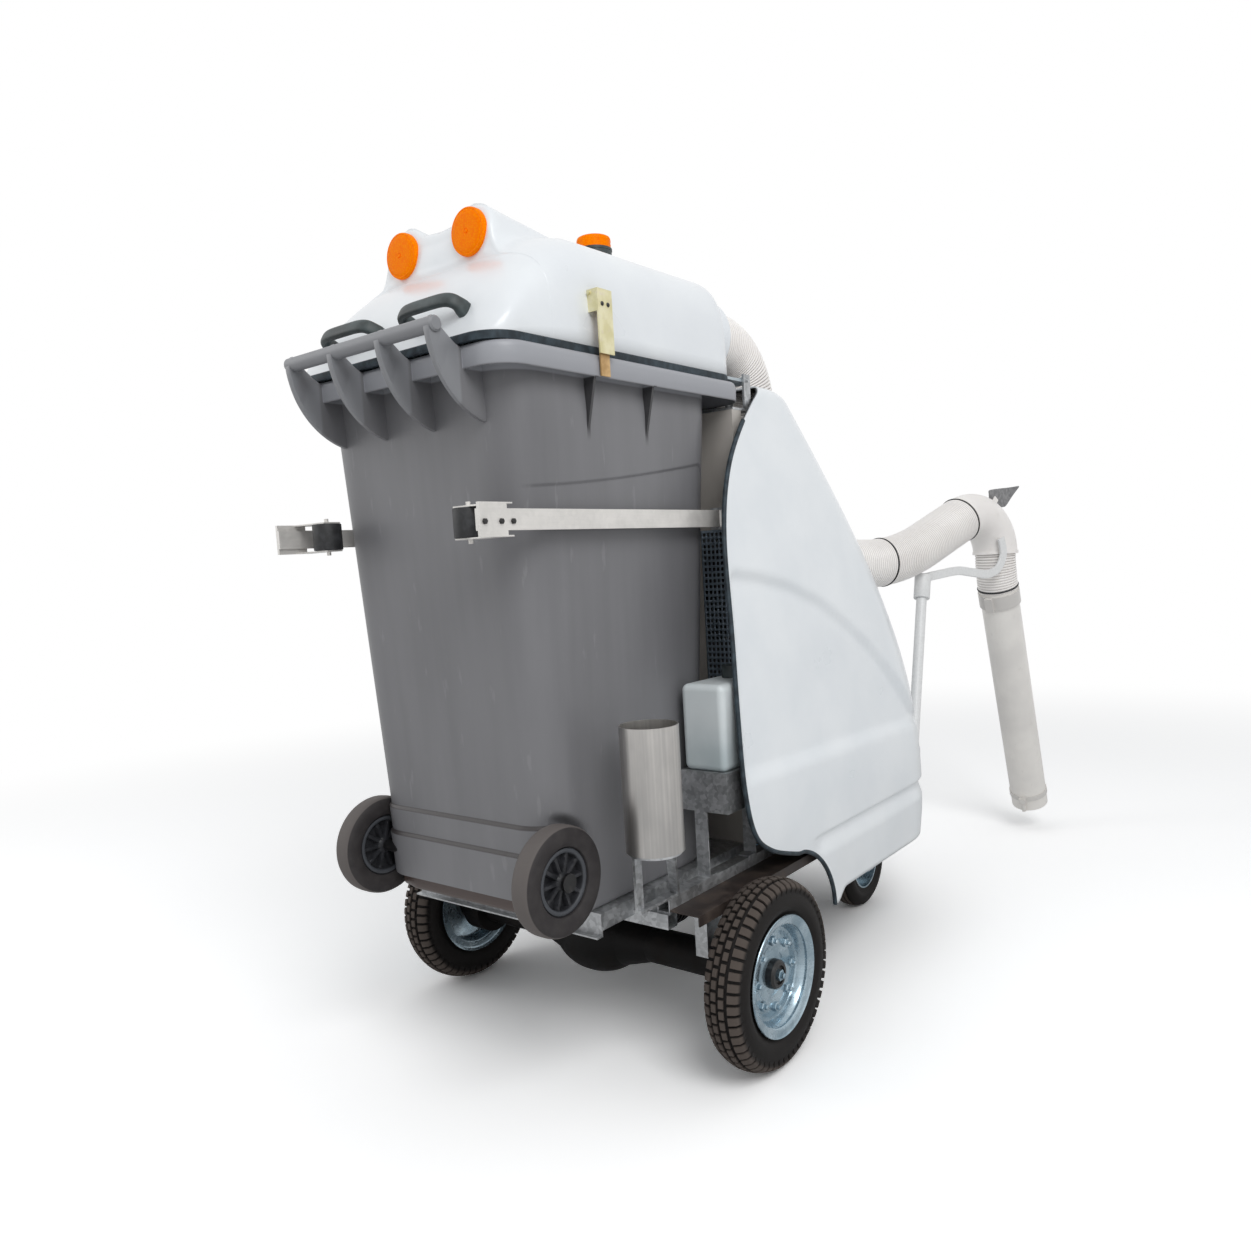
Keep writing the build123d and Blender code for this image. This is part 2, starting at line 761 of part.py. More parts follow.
def cover_form(inset, top_z):
    """The cover's outline at each level, lofted: it widens and swells forward on the way down."""
    low_z = cover_bottom_z - cover_overrun
    with BuildPart() as form:
        for level in range(cover_levels + 1):
            z = low_z + (top_z - low_z) * level / cover_levels
            depth = (cover_top_z - z) / (cover_top_z - cover_bottom_z)
            swell = math.sin(math.radians(90.0 * min(depth, 1.0)))
            half = cover_top_half + (cover_bottom_half - cover_top_half) * swell - inset
            reach = cover_top_front + cover_belly * math.sin(math.radians(cover_belly_turn * depth))
            front = bin_axle_y + reach - inset
            corner = cover_corner_top + (cover_corner_bottom - cover_corner_top) * swell - inset
            back = bin_axle_y + cover_back
            with BuildSketch(Plane.XY.offset(z)):
                with BuildLine():
                    Polyline((half, front - corner), (half, back), (-half, back), (-half, front - corner))
                    TangentArc((-half, front - corner), (-half + corner, front), tangent=(0, 1))
                    Line((-half + corner, front), (half - corner, front))
                    TangentArc((half - corner, front), (half, front - corner), tangent=(1, 0))
                make_face()
        loft(ruled=True)
    return form


# Cover: a moulded shell, open to the rear and below, cut to its side outline
edge_points = [
    (735.0, cover_top_z + trim_proud),
    (611.0, cover_top_z - 101.0),
    (520.0, cover_top_z - 208.0),
    (462.0, cover_top_z - 345.0),
    (430.0, cover_top_z - 547.0),
    (409.0, cover_top_z - 706.0),
    (402.0, cover_top_z - 840.0),
    (422.0, cover_top_z - 938.0),
    (480.0, cover_top_z - 988.0),
    (578.0, cover_top_z - 1022.0),
]
arch_middle = (690.0, cover_bottom_z + 118.0)
arch_foot = (745.0, cover_bottom_z)
nose_station = 1300.0
nose_radius = 150.0
cover_outer = cover_form(0.0, cover_top_z)
cover_inner = cover_form(cover_wall, cover_top_z - cover_wall)
side_view = Plane(origin=(0, bin_axle_y, 0), x_dir=(0, 1, 0), z_dir=(1, 0, 0))
hose_line = Plane(hose_start, z_dir=first_run)
hose_lean = math.asin((cover_top_z - bend_z) / top_hose_bend)
roof_hole = (top_hose_x, top_hose_y - top_hose_bend * (1 - math.cos(hose_lean)), cover_top_z)
roof_hole_radius = hose_radius / math.cos(hose_lean) + cover_wall * math.tan(hose_lean) + side_gap
with BuildPart() as cover_shell:
    add(cover_outer.part)
    add(cover_inner.part, mode=Mode.SUBTRACT)
    with BuildSketch(side_view):
        with BuildLine():
            Spline(*edge_points)
            ThreePointArc(edge_points[-1], arch_middle, arch_foot)
            Line(arch_foot, (nose_station, cover_bottom_z))
            TangentArc(
                (nose_station, cover_bottom_z),
                (nose_station + 2 * nose_radius, cover_bottom_z + nose_radius),
                tangent=(1, 0),
            )
            Polyline(
                (nose_station + 2 * nose_radius, cover_bottom_z + nose_radius),
                (nose_station + 2 * nose_radius, cover_top_z + trim_proud),
                edge_points[0],
            )
        make_face()
    extrude(amount=cover_bottom_half + cover_overrun, both=True, mode=Mode.INTERSECT)
    rod_z(roof_hole, roof_hole_radius, 4 * cover_wall, mode=Mode.SUBTRACT)
    with Locations(hose_line):
        Cylinder(
            hose_radius + side_gap,
            400.0,
            align=(Align.CENTER, Align.CENTER, Align.MIN),
            mode=Mode.SUBTRACT,
        )
keep(cover_shell, "cover_shell")

# Trim: a dark rubber strip that carries on from the cover's rear edge
trim_outer = cover_form(-trim_proud, cover_top_z + trim_proud)
trim_inner = cover_form(cover_wall + trim_proud, cover_top_z - cover_wall - trim_proud)
last = len(edge_points) - 1
behind = [(y - trim_width, z - trim_width * mark / last) for mark, (y, z) in enumerate(edge_points)]
with BuildPart() as cover_trim:
    add(trim_outer.part)
    add(trim_inner.part, mode=Mode.SUBTRACT)
    with BuildSketch(side_view):
        with BuildLine():
            Spline(*edge_points)
            Line(edge_points[-1], behind[-1])
            Spline(*behind)
            Line(behind[0], edge_points[0])
        make_face()
    extrude(amount=cover_bottom_half + cover_overrun, both=True, mode=Mode.INTERSECT)
keep(cover_trim, "cover_trim")


def bin_share(z):
    """How far up the bin's taper a height is."""
    return (z - platform_z) / bin_height


def bin_half_at(z):
    """Half the bin's width at a height."""
    return bin_base_half + (bin_top_half - bin_base_half) * bin_share(z)


def bin_rear_at(z):
    """The bin's rear face at a height."""
    return bin_axle_y + bin_base_rear + (bin_top_rear - bin_base_rear) * bin_share(z)


# Bin: tapered body with wheel pockets, an axle tunnel, a turned-down rim and a finned handle bar
pocket_x = bin_wheel_outer_x - bin_wheel_width - pocket_side_gap
pocket_y = bin_axle_y + bin_wheel_radius + pocket_gap
pocket_z = bin_axle_z + bin_wheel_radius + pocket_gap
with BuildPart() as bin_space:
    for z, half, rear, front in (
        (platform_z + bin_wall, bin_base_half, bin_base_rear, bin_base_front),
        (bin_top_z, bin_top_half, bin_top_rear, bin_top_front),
    ):
        with BuildSketch(Plane.XY.offset(z)):
            with Locations((0, bin_axle_y + (rear + front) / 2)):
                RectangleRounded(2 * (half - bin_wall), front - rear - 2 * bin_wall, bin_corner - bin_wall)
    loft()
    far_y = bin_axle_y - bin_wheel_radius
    for side, sign in sides:
        low, high = sorted((sign * (pocket_x - bin_wall), sign * rim_half))
        block((low, high), (far_y, pocket_y + bin_wall), (0, pocket_z + bin_wall), mode=Mode.SUBTRACT)
    tunnel_y = (far_y, bin_axle_y + axle_tunnel)
    block((-rim_half, rim_half), tunnel_y, (0, bin_axle_z + axle_tunnel), mode=Mode.SUBTRACT)

outer_fin = grip_half - fin_wall / 2
fin_stations = (-outer_fin, -grip_half / 3, grip_half / 3, outer_fin)
with BuildPart() as bin_body:
    for z, half, rear, front in (
        (platform_z, bin_base_half, bin_base_rear, bin_base_front),
        (bin_top_z, bin_top_half, bin_top_rear, bin_top_front),
    ):
        with BuildSketch(Plane.XY.offset(z)):
            with Locations((0, bin_axle_y + (rear + front) / 2)):
                RectangleRounded(2 * half, front - rear, bin_corner)
    loft()
    rim_middle = (0, bin_axle_y + (rim_rear + rim_front) / 2)
    with BuildSketch(Plane.XY.offset(bin_top_z)):
        with Locations(rim_middle):
            RectangleRounded(2 * rim_half, rim_front - rim_rear, rim_corner)
    extrude(amount=-rim_plate)
    with BuildSketch(Plane.XY.offset(bin_top_z)):
        with Locations(rim_middle):
            RectangleRounded(2 * rim_half, rim_front - rim_rear, rim_corner)
            RectangleRounded(
                2 * (rim_half - rim_skirt),
                rim_front - rim_rear - 2 * rim_skirt,
                rim_corner - rim_skirt,
                mode=Mode.SUBTRACT,
            )
    extrude(amount=-rim_drop)
    grip_y = -grip_back
    grip_z = bin_top_z + grip_up
    fin_root = bin_top_z - fin_height
    root_y = bin_rear_at(fin_root) - bin_axle_y + bin_wall / 2
    fin_top = (rim_rear, bin_top_z - rim_plate / 2)
    fin_start = (root_y, bin_top_z - rim_plate)
    fin_end = (grip_y - grip_radius, grip_z - grip_radius / 2)
    fin_tip = (grip_y, grip_z + grip_radius * 0.7)
    for station in fin_stations:
        with BuildSketch(Plane(origin=(station, bin_axle_y, 0), x_dir=(0, 1, 0), z_dir=(1, 0, 0))):
            with BuildLine():
                Line(fin_start, (root_y, fin_root))
                ThreePointArc(
                    (root_y, fin_root),
                    ((root_y + grip_y) / 2 - fin_bow[0], (fin_root + grip_z) / 2 - fin_bow[1]),
                    fin_end,
                )
                Polyline(fin_end, fin_tip, fin_top, fin_start)
            make_face()
        extrude(amount=fin_wall / 2, both=True)
    rod_x((0, bin_axle_y - grip_back, grip_z), grip_radius, 2 * grip_half)
    add(bin_space.part, mode=Mode.SUBTRACT)
    for side, sign in sides:
        low, high = sorted((sign * pocket_x, sign * rim_half))
        block((low, high), (far_y, pocket_y), (0, pocket_z), mode=Mode.SUBTRACT)
    rod_x((0, bin_axle_y, bin_axle_z), bin_axle_radius + seat_gap, 2 * rim_half, mode=Mode.SUBTRACT)
keep(bin_body, "bin_body")

# The bin's axle with a washer at each end, and its spoked wheels
axle_end = bin_wheel_outer_x + seat_gap + axle_washer
with BuildPart() as bin_axle:
    rod_x((0, bin_axle_y, bin_axle_z), bin_axle_radius, 2 * axle_end)
    for side, sign in sides:
        washer_middle = (sign * (axle_end - axle_washer / 2), bin_axle_y, bin_axle_z)
        rod_x(washer_middle, bin_axle_radius + axle_washer_wall, axle_washer)
keep(bin_axle, "bin_axle")

for side, sign in sides:
    wheel_middle = sign * (bin_wheel_outer_x - bin_wheel_width / 2)
    with BuildPart() as bin_wheel:
        rod_x((wheel_middle, bin_axle_y, bin_axle_z), bin_wheel_radius, bin_wheel_width)
        fillet(bin_wheel.edges().filter_by(GeomType.CIRCLE), bin_wheel_round)
        for face in (-1, 1):
            middle = (wheel_middle + face * bin_wheel_width / 2, bin_axle_y, bin_axle_z)
            with Locations(Plane(middle, x_dir=(0, 1, 0), z_dir=(face, 0, 0))):
                with PolarLocations(spoke_circle, bin_spokes):
                    Box(spoke_pocket[0], spoke_pocket[1], 2 * spoke_pocket[2], mode=Mode.SUBTRACT)
        rod_x(
            (wheel_middle, bin_axle_y, bin_axle_z),
            bin_axle_radius + running_fit,
            bin_wheel_width,
            mode=Mode.SUBTRACT,
        )
    keep(bin_wheel, f"bin_wheel_{side}")

# Casters: fork with kingpin, and a small tyre on a steel rim
crown_z = 2 * front_tyre_radius + crown_gap
beam_z = rail_z - beam_thick
fork_half = front_tyre_width / 2 + fork_gap
nut_z = rail_z + seat_gap
for side, sign in sides:
    pivot = (sign * caster_x, caster_pivot_y)
    axle_y = caster_pivot_y + caster_trail
    with BuildPart() as caster_fork:
        block(
            (pivot[0] - fork_half - fork_wall, pivot[0] + fork_half + fork_wall),
            (pivot[1] - crown_rear, pivot[1] + crown_front),
            (crown_z, crown_z + fork_wall),
        )
        post_z = (crown_z + fork_wall + beam_z - seat_gap) / 2
        rod_z((*pivot, post_z), post_radius, beam_z - seat_gap - crown_z - fork_wall)
        rod_z((*pivot, (crown_z + nut_z + nut_height) / 2), kingpin_radius, nut_z + nut_height - crown_z)
        rod_z((*pivot, nut_z + nut_height / 2), nut_radius, nut_height)
        for cheek in (-1, 1):
            cheek_x = pivot[0] + cheek * (fork_half + fork_wall / 2)
            with BuildSketch(Plane(origin=(cheek_x, axle_y, 0), x_dir=(0, 1, 0), z_dir=(1, 0, 0))):
                Polygon(
                    (-caster_trail - crown_rear, crown_z + fork_wall),
                    (crown_front - caster_trail, crown_z + fork_wall),
                    (fork_foot_half + fork_wall, front_tyre_radius + fork_wall),
                    (fork_foot_half, front_tyre_radius - fork_foot_drop),
                    (-fork_foot_half, front_tyre_radius - fork_foot_drop),
                    (-fork_foot_half - fork_wall, front_tyre_radius + fork_wall),
                    align=None,
                )
            extrude(amount=fork_wall / 2, both=True)
        axle_length = 2 * (fork_half + fork_wall + axle_nut)
        rod_x((pivot[0], axle_y, front_tyre_radius), front_axle_radius, axle_length)
    keep(caster_fork, f"caster_fork_{side}")

    front_axle = Axis((0, axle_y, front_tyre_radius), (1, 0, 0))
    with BuildPart() as front_rim:
        with BuildSketch(wheel_section(pivot[0], axle_y, front_tyre_radius)):
            rim_half_width = front_tyre_width / 2 - front_bead_inset
            with Locations((0, front_rim_radius - rim_wall / 2)):
                Rectangle(2 * rim_half_width, rim_wall)
            with Locations((0, (front_rim_radius + front_axle_radius) / 2)):
                Rectangle(2 * rim_wall, front_rim_radius - front_axle_radius - 2 * running_fit)
            with Locations((0, front_axle_radius + running_fit + rim_hub_wall / 2)):
                Rectangle(2 * (fork_half - seat_gap), rim_hub_wall)
        revolve(axis=front_axle)
    keep(front_rim, f"front_rim_{side}")

    with BuildPart() as front_tyre:
        with BuildSketch(wheel_section(pivot[0], axle_y, front_tyre_radius)):
            inner = front_rim_radius + seat_gap
            half = front_tyre_width / 2
            foot = half - front_bead_inset
            edge = (half - front_shoulder_inset, front_tyre_radius - front_crown_drop)
            with BuildLine():
                Line((-foot, inner), (foot, inner))
                ThreePointArc((foot, inner), (half, (inner + front_tyre_radius) / 2), edge)
                ThreePointArc(edge, (0, front_tyre_radius), (-edge[0], edge[1]))
                ThreePointArc((-edge[0], edge[1]), (-half, (inner + front_tyre_radius) / 2), (-foot, inner))
            make_face()
        revolve(axis=front_axle)
    keep(front_tyre, f"front_tyre_{side}")


def hood_form(inset):
    """The hood's outline at each level, lofted: rise, then how far the sides, rear and front draw in."""
    with BuildPart() as form:
        for rise, from_side, from_rear, from_front in hood_steps:
            low = bin_axle_y + hood_rear + from_rear + inset
            high = bin_axle_y + hood_front - from_front - inset
            half = hood_half - from_side - inset
            with BuildSketch(Plane.XY.offset(hood_z + rise - (inset if rise else 0.0))):
                with Locations((0, (low + high) / 2)):
                    RectangleRounded(2 * half, high - low, hood_corner - inset)
        loft(ruled=True)
    return form


# Hood: a moulded lid with two brow pods at the rear and a ring for the top hose at the front
hood_steps = (
    (0.0, 0.0, 0.0, 0.0),
    (90.0, 5.0, 58.0, 3.0),
    (165.0, 12.0, 128.0, 12.0),
    (198.0, 32.0, 170.0, 40.0),
    (hood_crown, 125.0, 255.0, 66.0),
)
pod_y = bin_axle_y + pod_station
pod_z = hood_z + pod_up
hood_outer = hood_form(0.0)
hood_inner = hood_form(hood_wall)
ring_y = bin_axle_y + hood_front + ring_proud - ring_length / 2
with BuildPart() as hood_shell:
    add(hood_outer.part)
    brow_start = Plane((0, pod_y, pod_z), x_dir=(1, 0, 0), z_dir=(0, -1, 0))
    brow_end = Plane((0, pod_y + brow_length, pod_z - brow_fall), x_dir=(1, 0, 0), z_dir=(0, -1, 0))
    for side, sign in sides:
        with BuildSketch(brow_start):
            with Locations((sign * pod_x, 0)):
                Circle(pod_radius)
        with BuildSketch(brow_end):
            with Locations((sign * pod_x, 0)):
                Circle(brow_end_radius)
        loft()
    with BuildSketch(brow_start):
        with Locations((0, brow_saddle)):
            Rectangle(2 * pod_x, brow_saddle + brow_depth, align=(Align.CENTER, Align.MAX))
    with BuildSketch(brow_end):
        with Locations((0, brow_end_radius / 2)):
            Rectangle(2 * pod_x, 2 * brow_end_radius, align=(Align.CENTER, Align.MAX))
    loft()
    rod_y((top_hose_x, ring_y, hose_port_z), hose_radius + side_gap + ring_wall, ring_length)
    add(hood_inner.part, mode=Mode.SUBTRACT)
    rod_y((top_hose_x, ring_y, hose_port_z), hose_radius + side_gap, 2 * ring_length, mode=Mode.SUBTRACT)
keep(hood_shell, "hood_shell")

# Seal: a rubber strip under the hood's edge, resting on the bin's rim
with BuildPart() as hood_seal:
    with BuildSketch(Plane.XY.offset(bin_top_z + seat_gap)):
        with Locations((0, bin_axle_y + (hood_rear + hood_front) / 2)):
            for inset, mode in ((seal_inset, Mode.ADD), (seal_inset + seal_width, Mode.SUBTRACT)):
                seal_x = 2 * (hood_half - inset)
                seal_y = hood_front - hood_rear - 2 * inset
                RectangleRounded(seal_x, seal_y, hood_corner - inset, mode=mode)
    extrude(amount=seal_height - seat_gap)
keep(hood_seal, "hood_seal")

# Reflectors on the pods, and the beacon on the roof
with BuildPart() as reflectors:
    for side, sign in sides:
        rod_y((sign * pod_x, pod_y - reflector_depth / 2, pod_z), reflector_radius, reflector_depth)
    fillet(reflectors.edges().filter_by(GeomType.CIRCLE).group_by(Axis.Y)[0], reflector_round)
keep(reflectors, "reflectors")

beacon_y = bin_axle_y + beacon_station
roof_z = hood_z + hood_crown
with BuildPart() as beacon_base:
    rod_z((0, beacon_y, roof_z + beacon_base_height / 2), beacon_radius, beacon_base_height)
    rod_z((0, beacon_y, roof_z + beacon_foot / 2), beacon_radius + beacon_foot_wall, beacon_foot)
keep(beacon_base, "beacon_base")

with BuildPart() as beacon_lens:
    lens_z = roof_z + beacon_base_height + beacon_height / 2
    rod_z((0, beacon_y, lens_z), beacon_radius - beacon_inset, beacon_height)
    fillet(beacon_lens.edges().filter_by(GeomType.CIRCLE).sort_by(Axis.Z)[-1], beacon_round)
keep(beacon_lens, "beacon_lens")

# Pull handles: two moulded bridges on the hood's rear slope
slope_low = Vector(0, bin_axle_y + hood_rear, hood_z)
slope_high = Vector(0, bin_axle_y + hood_rear + hood_steps[1][2], hood_z + hood_steps[1][0])
slope = (slope_high - slope_low).normalized()
inner_half = handle_half - handle_leg
with BuildPart() as pull_handles:
    for side, sign in sides:
        seat = slope_low + slope * handle_up + Vector(sign * handle_x, 0, 0)
        with BuildSketch(Plane(seat, x_dir=(1, 0, 0), z_dir=slope)):
            Polygon(
                (-handle_half, 0),
                (handle_half, 0),
                (handle_half - handle_draft, -handle_rise),
                (-handle_half + handle_draft, -handle_rise),
                align=None,
            )
            Polygon(
                (-inner_half, 0),
                (inner_half, 0),
                (inner_half - handle_inner_draft, -handle_rise + handle_bar),
                (-inner_half + handle_inner_draft, -handle_rise + handle_bar),
                align=None,
                mode=Mode.SUBTRACT,
            )
        extrude(amount=handle_depth / 2, both=True)
keep(pull_handles, "pull_handles")

# Hood hardware: latch bases on its sides and hinge leaves at its front
latch_y = bin_axle_y + latch_station
latch_pivot_x = rim_half - latch_inset
latch_pivot_z = hood_z + latch_up
ear_half = strap_width / 2 + latch_cheek
base_half = ear_half + latch_plate
with BuildPart() as hood_hardware:
    for side, sign in sides:
        base_x = sorted((sign * (hood_half - base_root), sign * (latch_pivot_x - base_gap)))
        base_z = (latch_pivot_z - base_drop, latch_pivot_z + base_rise)
        block(base_x, (latch_y - base_half, latch_y + base_half), base_z)
        for ear in (-1, 1):
            ear_y = sorted((latch_y + ear * ear_half, latch_y + ear * base_half))
            ear_x = sorted((sign * (hood_half - base_root), sign * (latch_pivot_x + ear_round)))
            block(ear_x, ear_y, (latch_pivot_z - ear_round, latch_pivot_z + ear_round))
        latch_pin = (sign * latch_pivot_x, latch_y, latch_pivot_z)
        rod_y(latch_pin, latch_pin_radius, 2 * (ear_half + 3 * latch_plate))
        leaf = (sign * hinge_x - leaf_width / 2, sign * hinge_x + leaf_width / 2)
        block(leaf, (hinge_y - leaf_length, hinge_y), (hinge_z - leaf_wall / 2, hinge_z + leaf_wall / 2))
        knuckle = (sign * hinge_x, hinge_y, hinge_z)
        rod_x(knuckle, knuckle_radius, leaf_width)
        rod_x(knuckle, hinge_pin_radius + running_fit, leaf_width, mode=Mode.SUBTRACT)
    add(hood_outer.part, mode=Mode.SUBTRACT)
keep(hood_hardware, "hood_hardware")

# Latch levers: channels that swing on the base's pin, with the strap's pin between their cheeks
cheek_half = base_half + 0.5 * side_gap
lever_half_width = cheek_half + latch_cheek
strap_x = rim_half + strap_out
strap_pin_z = latch_pivot_z - strap_drop
front_x = strap_x + strap_eye_radius + side_gap
for side, sign in sides:
    with BuildPart() as latch_lever:
        low, high = sorted((sign * front_x, sign * (front_x + latch_plate)))
        lever_z = (latch_pivot_z - latch_length + latch_head, latch_pivot_z + latch_head)
        block((low, high), (latch_y - lever_half_width, latch_y + lever_half_width), lever_z)
        for cheek in (-1, 1):
            cheek_y = sorted((latch_y + cheek * cheek_half, latch_y + cheek * lever_half_width))
            low, high = sorted((sign * (latch_pivot_x - base_gap + side_gap), sign * front_x))
            block((low, high), cheek_y, (strap_pin_z - latch_head, latch_pivot_z + latch_head))
        rod_y(
            (sign * latch_pivot_x, latch_y, latch_pivot_z),
            latch_pin_radius + running_fit,
            4 * cheek_half,
            mode=Mode.SUBTRACT,
        )
        rod_y((sign * strap_x, latch_y, strap_pin_z), strap_pin_radius, 2 * cheek_half)
    keep(latch_lever, f"latch_lever_{side}")

    strap_foot_z = bin_top_z - rim_drop + strap_hold
    strap_pin = (sign * strap_x, latch_y, strap_pin_z)
    with BuildPart() as latch_strap:
        low, high = sorted((sign * (strap_x - strap_thick / 2), sign * (strap_x + strap_thick / 2)))
        strap_y = (latch_y - strap_width / 2, latch_y + strap_width / 2)
        block((low, high), strap_y, (strap_foot_z, strap_pin_z))
        rod_y(strap_pin, strap_eye_radius, strap_width)
        rod_y(strap_pin, strap_pin_radius + running_fit, strap_width, mode=Mode.SUBTRACT)
    keep(latch_strap, f"latch_strap_{side}")

# Retaining arms: flat bars on upright pins, with an end plate and two tabs that hold a roller behind the bin
arm_x = bin_half_at(arm_z) + arm_gap + arm_thick / 2
arm_pivot_y = bin_axle_y + arm_pivot_station
roller_y = bin_rear_at(arm_z + roller_height / 2) - roller_radius - roller_gap
plate_y = bin_axle_y + end_plate_station
eye_radius = arm_pin_radius + eye_wall
tab_z = roller_height / 2 + seat_gap
for side, sign in sides:
    with BuildPart() as retaining_arm:
        bar_x = (sign * arm_x - arm_thick / 2, sign * arm_x + arm_thick / 2)
        block(bar_x, (plate_y, arm_pivot_y), (arm_z - arm_height / 2, arm_z + arm_height / 2))
        rod_z((sign * arm_x, arm_pivot_y, arm_z), eye_radius, arm_height)
        plate_outer = arm_x + arm_thick / 2
        low, high = sorted((sign * (plate_outer - end_plate), sign * plate_outer))
        plate_z = (arm_z - tab_z - tab_wall, arm_z + tab_z + tab_wall)
        block((low, high), (plate_y, plate_y + end_plate_length), plate_z)
        for tab in (-1, 1):
            tab_range = sorted((arm_z + tab * tab_z, arm_z + tab * (tab_z + tab_wall)))
            low, high = sorted((sign * (roller_x - tab_half), sign * plate_outer))
            block((low, high), (roller_y - tab_half, roller_y + tab_half), tab_range)
        rod_z((sign * roller_x, roller_y, arm_z), roller_pin_radius, 2 * (tab_z + tab_wall + pin_proud))
        rod_z(
            (sign * arm_x, arm_pivot_y, arm_z),
            arm_pin_radius + running_fit,
            arm_height,
            mode=Mode.SUBTRACT,
        )
    keep(retaining_arm, f"retaining_arm_{side}")

    with BuildPart() as arm_roller:
        rod_z((sign * roller_x, roller_y, arm_z), roller_radius, roller_height)
        fillet(arm_roller.edges().filter_by(GeomType.CIRCLE), roller_round)
        pin_hole = roller_pin_radius + running_fit
        rod_z((sign * roller_x, roller_y, arm_z), pin_hole, roller_height, mode=Mode.SUBTRACT)
    keep(arm_roller, f"arm_roller_{side}")

# Brackets on the bulkhead: pivots of the arms behind it, hinge ears of the hood in front of it
pivot_inner = bin_half_at(arm_z) + pivot_side_gap
plate_gap = arm_height / 2 + seat_gap
plate_end = plate_gap + pivot_plate
ear_inner = (leaf_width + side_gap) / 2
foot_y = bulkhead_y + sheet
inner_side = bulkhead_half - sheet - side_gap / 2
with BuildPart() as bulkhead_brackets:
    for side, sign in sides:
        for plate in (-1, 1):
            plate_z = sorted((arm_z + plate * plate_gap, arm_z + plate * plate_end))
            low, high = sorted((sign * pivot_inner, sign * (arm_x + eye_radius)))
            block((low, high), (arm_pivot_y - eye_radius, bulkhead_y), plate_z)
        low, high = sorted((sign * pivot_inner, sign * bulkhead_half))
        back_z = (arm_z - plate_end, arm_z + plate_end)
        block((low, high), (bulkhead_y - pivot_plate, bulkhead_y), back_z)
        rod_z((sign * arm_x, arm_pivot_y, arm_z), arm_pin_radius, 2 * plate_end)
        ear_outer = ear_inner + hinge_ear
        low, high = sorted((sign * (hinge_x - ear_outer), sign * inner_side))
        block((low, high), (foot_y, foot_y + hinge_ear), (bulkhead_top - hinge_foot, bulkhead_top))
        wide = (sign * hinge_x - ear_outer, sign * hinge_x + ear_outer)
        ear_y = (hinge_y - ear_reach, hinge_y + ear_reach)
        block(wide, (foot_y, ear_y[1]), (bulkhead_top, bulkhead_top + hinge_ear))
        for ear in (-1, 1):
            start = sign * hinge_x + ear * ear_inner
            low, high = sorted((start, start + ear * hinge_ear))
            block((low, high), ear_y, (bulkhead_top, hinge_z + ear_reach))
        hinge_pin = (sign * hinge_x, hinge_y, hinge_z)
        rod_x(hinge_pin, hinge_pin_radius, 2 * (ear_outer + hinge_pin_radius))
keep(bulkhead_brackets, "bulkhead_brackets")

# Water tank with its neck, cap and tray
tank_y = (bin_axle_y + tank_rear, bin_axle_y + tank_front)
cap_y = tank_y[0] + tank_neck_back
with BuildPart() as water_tank:
    block((tank_x - tank_half, tank_x + tank_half), tank_y, (tank_base_z, tank_top_z))
    fillet(water_tank.edges(), tank_round)
    rod_z((tank_x, cap_y, tank_top_z), tank_neck_radius, 2 * tank_neck_height)
keep(water_tank, "water_tank")

skirt_z = tank_top_z + seat_gap
cap_top = tank_top_z + tank_neck_height + seat_gap + cap_wall
with BuildPart() as tank_cap:
    rod_z((tank_x, cap_y, (skirt_z + cap_top) / 2), tank_neck_radius + cap_wall, cap_top - skirt_z)
    rod_z(
        (tank_x, cap_y, tank_top_z),
        tank_neck_radius + running_fit,
        2 * (tank_neck_height + seat_gap),
        mode=Mode.SUBTRACT,
    )
keep(tank_cap, "tank_cap")

with BuildPart() as tank_tray:
    outer_x = (tank_x - tank_half - tray_margin, tank_x + tank_half + tray_margin)
    outer_y = (tank_y[0] - tray_margin, tank_y[1] + tray_margin)
    tray_foot = tank_base_z - tray_drop
    block(outer_x, outer_y, (tray_foot, tank_base_z))
    block(
        (outer_x[0] + sheet, outer_x[1] - sheet),
        (outer_y[0] + sheet, outer_y[1] - sheet),
        (tray_foot, tank_base_z - sheet),
        mode=Mode.SUBTRACT,
    )
    leg_x = (rail_x - tray_leg / 2, rail_x + tray_leg / 2)
    for station in (outer_y[0], outer_y[1] - sheet):
        block(leg_x, (station, station + sheet), (rail_top_z, tank_base_z - sheet))
        inward = station if station == outer_y[0] else station + sheet - tray_leg
        block(leg_x, (inward, inward + tray_leg), (rail_top_z, rail_top_z + sheet))
keep(tank_tray, "tank_tray")

# Tool tube: an open aluminium canister on a bent bracket
tool_y = bin_axle_y + tool_station
with BuildPart() as tool_tube:
    rod_z((tool_x, tool_y, tool_base_z + tool_height / 2), tool_radius, tool_height)
    hollow = tool_height - tool_wall
    rod_z(
        (tool_x, tool_y, tool_base_z + tool_wall + hollow / 2),
        tool_radius - tool_wall,
        hollow,
        mode=Mode.SUBTRACT,
    )
keep(tool_tube, "tool_tube")

